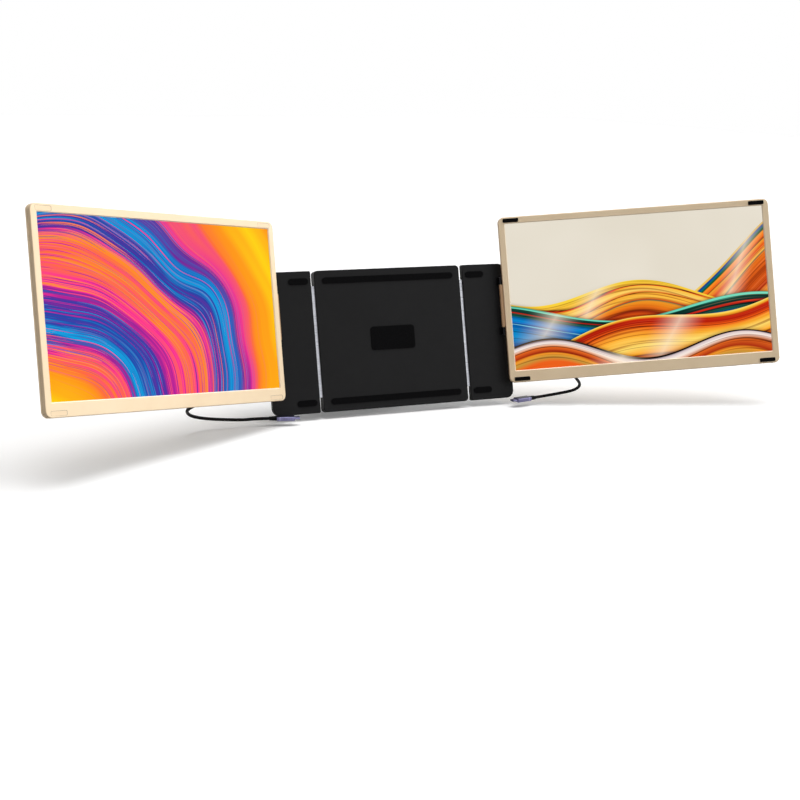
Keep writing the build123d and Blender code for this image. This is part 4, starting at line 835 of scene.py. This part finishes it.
def lead(side):
    """Cable: a circle carried along the line, square to it, from the screen's boot to the laptop's."""
    line = spline_line(LEAD_POINTS[side])[::-1]
    way = np.gradient(line, axis=0)
    way /= np.linalg.norm(way, axis=1, keepdims=True)
    level = np.linalg.svd(line - line.mean(0))[2][2]
    across = np.cross(way, level)
    across /= np.linalg.norm(across, axis=1, keepdims=True)
    rings = tube(line, across, np.cross(across, way), CABLE / 2 * MM, LEAD_SIDES)
    run = np.concatenate([[0], np.cumsum(np.linalg.norm(np.diff(line, axis=0), axis=1))])
    uv = np.stack(np.meshgrid(run / MM, np.linspace(0, 1, LEAD_SIDES), indexing="ij"), -1)
    made = piece(f"{side}_lead_cable", rings, capped(len(line), LEAD_SIDES), None, JACKET, True, uv)
    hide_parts(f"{side}_lead")
    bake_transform(made)


for side in SIDES:
    mirrored = side == "left"
    at_screen, at_laptop = at_screen_port(side), at_laptop_port(side)
    screen, arm = f"{side}_screen", f"{side}_arm"
    plug_body(f"{side}_screen_plug_body", at_screen, screen, f"{side}_screen_plug", not mirrored)
    ribbed_boot(f"{side}_screen_ribbed_boot", at_screen, screen, f"{side}_screen_boot", not mirrored)
    laptop_pieces = [
        plug_body(f"{side}_laptop_plug_body", at_laptop, arm, f"{side}_laptop_plug", True),
        ribbed_boot(f"{side}_laptop_ribbed_boot", at_laptop, arm, f"{side}_laptop_boot", True)]
    lead(side)


# ------------------------------------------------------------ screws
def screws(name, places, head, place, body, finish, flip):
    """Cross-recessed heads: a shallow dome over the radius, less a cross, then down to the seat."""
    seat, radius, height = head
    reach = np.concatenate([np.linspace(0.06, 0.9, 15), [0.96, 1.0, 1.0]]) * radius
    turn = np.linspace(0, 2 * pi, HEAD_SIDES, endpoint=False)
    x, z = reach[:, None] * np.cos(turn), reach[:, None] * np.sin(turn)
    near, far = np.minimum(abs(x), abs(z)) / radius, np.maximum(abs(x), abs(z)) / radius
    cross = np.clip((CROSS_HALF_WIDTH - near) / CROSS_SIDE, 0, 1)
    cross *= np.clip((CROSS_REACH - far) / CROSS_END, 0, 1)
    dome = height * (1 - HEAD_DOME * (reach / radius) ** 2)[:, None] - CROSS_DEPTH * height * cross
    dome[-1] = 0.0
    points, faces = [], []
    for number, (u, v) in enumerate(places):
        points.append(place(u + x, seat + dome, v + z))
        faces += capped(*x.shape, first=number * x.size)
    piece(name, np.concatenate(points), faces, body, finish, flip)


screws("core_screws", CORE_SCREWS, CORE_HEAD, leaned, "core", SCREW, False)
for side in SIDES:
    mirrored = side == "left"
    screen, arm = f"{side}_screen", f"{side}_arm"
    screws(f"{side}_arm_screws", ARM_SCREWS, ARM_HEAD, on_arm(side), arm, SCREW, mirrored)
    screws(f"{side}_screen_screws", SCREEN_SCREWS, SCREEN_HEAD, on_screen(side), screen, GOLD_SCREW, mirrored)


# ------------------------------------------------------------ seams
def casing_seam(side):
    """Parting line between bezel and rear cover: a fine bead along the casing's rounded outline."""
    turn = np.linspace(0, 2 * pi, BEAD_SIDES, endpoint=False)
    rise = SEAM_RISE * np.cos(turn) - SEAM_SINK
    s, z = outline_bead(*SCREEN_HALF, CASING_CORNER, SEAM_INSET, SEAM_TURN, rise)
    points = on_screen(side)(SCREEN_MIDDLE[0] + s, SEAM_WIDTH * np.sin(turn), SCREEN_MIDDLE[1] + z)
    faces = quads(*s.shape, closed_rows=True, closed_columns=True)
    piece(f"{side}_casing_seam", points, faces, f"{side}_screen", SEAM_AND_PAINTED_SHADOW, side == "right")


def pad_outlines(side):
    """Fine shut lines round the flush corner pads: a bead along each pad's sides and small corners.

    The bead is heavier along the top, and heaviest at the end near the hinge: there it is painted shadow."""
    half_s, half_z, corner = PAD_LENGTH / 2 + PAD_GAP, PAD_WIDTH / 2 + PAD_GAP, PAD_CORNER + PAD_GAP
    u, v = rounded_loop(half_s, half_z, corner, PAD_TURN)
    # the heavier top and hinge end of each outline are painted shadow
    end = np.clip(-u / PAD_LENGTH - END_START, 0, END_SPAN) / END_SPAN
    line_and_shadow_heft = HEFT_LOW + SHADOW_HEFT_TOP * (v > 0) + SHADOW_HEFT_END * end
    turn = np.linspace(0, 2 * pi, BEAD_SIDES, endpoint=False)
    rise = PAD_LINE_RISE * line_and_shadow_heft[:, None] * np.cos(turn)
    s, z = outline_bead(half_s, half_z, corner, PAD_LINE_INSET, PAD_TURN, rise)
    q = PAD_LINE_SINK - HALF_SCREEN + PAD_LINE_WIDTH * np.sin(turn)
    points, faces = [], []
    for number, (s0, z0) in enumerate(PAD_PLACES):
        points.append(on_screen(side)(s0 + s, q, z0 + z))
        faces += quads(*s.shape, closed_rows=True, closed_columns=True, first=number * s.size)
    piece(f"{side}_pad_outlines", np.concatenate(points), faces, f"{side}_screen", SEAM_AND_PAINTED_SHADOW, side == "right")


for side in SIDES:
    casing_seam(side)
pad_outlines("left")


# ------------------------------------------------------------ studio
FLOOR_DROP = 0.0002                         # metres below the table's level
FLOOR_X, FLOOR_Y = (-6, 6), (-4, 10)        # metres, with a grid line at each
PAPER_SEEN = (0.93, 0.93, 0.93, 1.0)
PAPER_GLOW = 0.13
SKY_FILL, SKY_SEEN = 0.1, 1.0               # strengths: what lights the object, and what is seen

SENSOR, PICTURE, FOCAL = 36.0, 800, 1331.2  # millimetres; the picture and focal length in pixels
EYE = (-0.6388, -1.5482, 0.3315)
YAW, PITCH, ROLL = radians(-22.775), radians(-13.892), radians(-1.184)


def white_floor():
    """Pale floor that shows pure white where it is fully lit and keeps the shadows."""
    made = Finish("studio_floor")
    pale = made.tones(made.noise(made.place(), 3.0, 2.0), (116, 116, 116), (112, 112, 112))
    seen = made.seen()
    paper = made.node("ShaderNodeBsdfDiffuse")
    glow = made.node("ShaderNodeEmission")
    both = made.node("ShaderNodeAddShader")
    made.feed(paper.inputs["Color"], made.blend(seen, pale, PAPER_SEEN))
    made.feed(glow.inputs["Strength"], made.math("MULTIPLY", seen, PAPER_GLOW))
    made.feed(both.inputs[0], paper.outputs[0])
    made.feed(both.inputs[1], glow.outputs[0])
    made.feed(made.tree.nodes["Material Output"].inputs["Surface"], both.outputs[0])
    grid = [np.linspace(low, high, high - low + 1) for low, high in (FLOOR_X, FLOOR_Y)]
    x, y = np.meshgrid(*grid, indexing="ij")
    points = np.stack([x, y, np.full_like(x, TABLE * MM - FLOOR_DROP)], -1)
    piece("floor", points, quads(*x.shape), None, made.material, smooth=False)


def sun(name, strength, spread, turn):
    """Broad even lamp: its strength, the width of its soft disc and its turn from straight overhead."""
    lamp = bpy.data.lights.new(name, "SUN")
    lamp.energy, lamp.angle = strength, radians(spread)
    holder = bpy.data.objects.new(name, lamp)
    holder.rotation_euler = [radians(a) for a in turn]
    bpy.context.scene.collection.objects.link(holder)


def sky():
    """White surround for the eye, and a softer fill for the object."""
    world = bpy.data.worlds.new("studio")
    bpy.context.scene.world = world
    world.use_nodes = True
    made = Nodes(world.node_tree)
    made.tree.nodes.clear()
    mix = made.node("ShaderNodeMixShader")
    made.feed(mix.inputs[0], made.seen())
    for socket, strength in zip((mix.inputs[1], mix.inputs[2]), (SKY_FILL, SKY_SEEN)):
        light = made.node("ShaderNodeBackground")
        light.inputs["Color"].default_value = WHITE_LIGHT
        light.inputs["Strength"].default_value = strength
        made.feed(socket, light.outputs[0])
    made.feed(made.node("ShaderNodeOutputWorld").inputs["Surface"], mix.outputs[0])


def camera():
    """Camera from its place, its three turns and its focal length."""
    turn_z = np.array([[cos(YAW), -sin(YAW), 0], [sin(YAW), cos(YAW), 0], [0, 0, 1]])
    turn_x = np.array([[1, 0, 0], [0, cos(PITCH), -sin(PITCH)], [0, sin(PITCH), cos(PITCH)]])
    turn_y = np.array([[cos(ROLL), 0, sin(ROLL)], [0, 1, 0], [-sin(ROLL), 0, cos(ROLL)]])
    right, forward, up = (turn_z @ turn_x @ turn_y).T
    made = bpy.data.cameras.new("camera")
    made.sensor_width = SENSOR
    made.lens = FOCAL / PICTURE * SENSOR
    made.clip_end = 60.0
    holder = bpy.data.objects.new("camera", made)
    pose = Matrix(np.column_stack([right, up, -forward]).tolist()).to_4x4()
    pose.translation = EYE
    holder.matrix_world = pose
    bpy.context.scene.collection.objects.link(holder)
    bpy.context.scene.camera = holder


bpy.context.scene.view_settings.view_transform = "Standard"
sky()
sun("overhead", strength=1.7, spread=36.0, turn=(7.0, 0.0, 0.0))
sun("window", strength=3.1, spread=90.0, turn=(8.0, 60.0, 0.0))
white_floor()
camera()
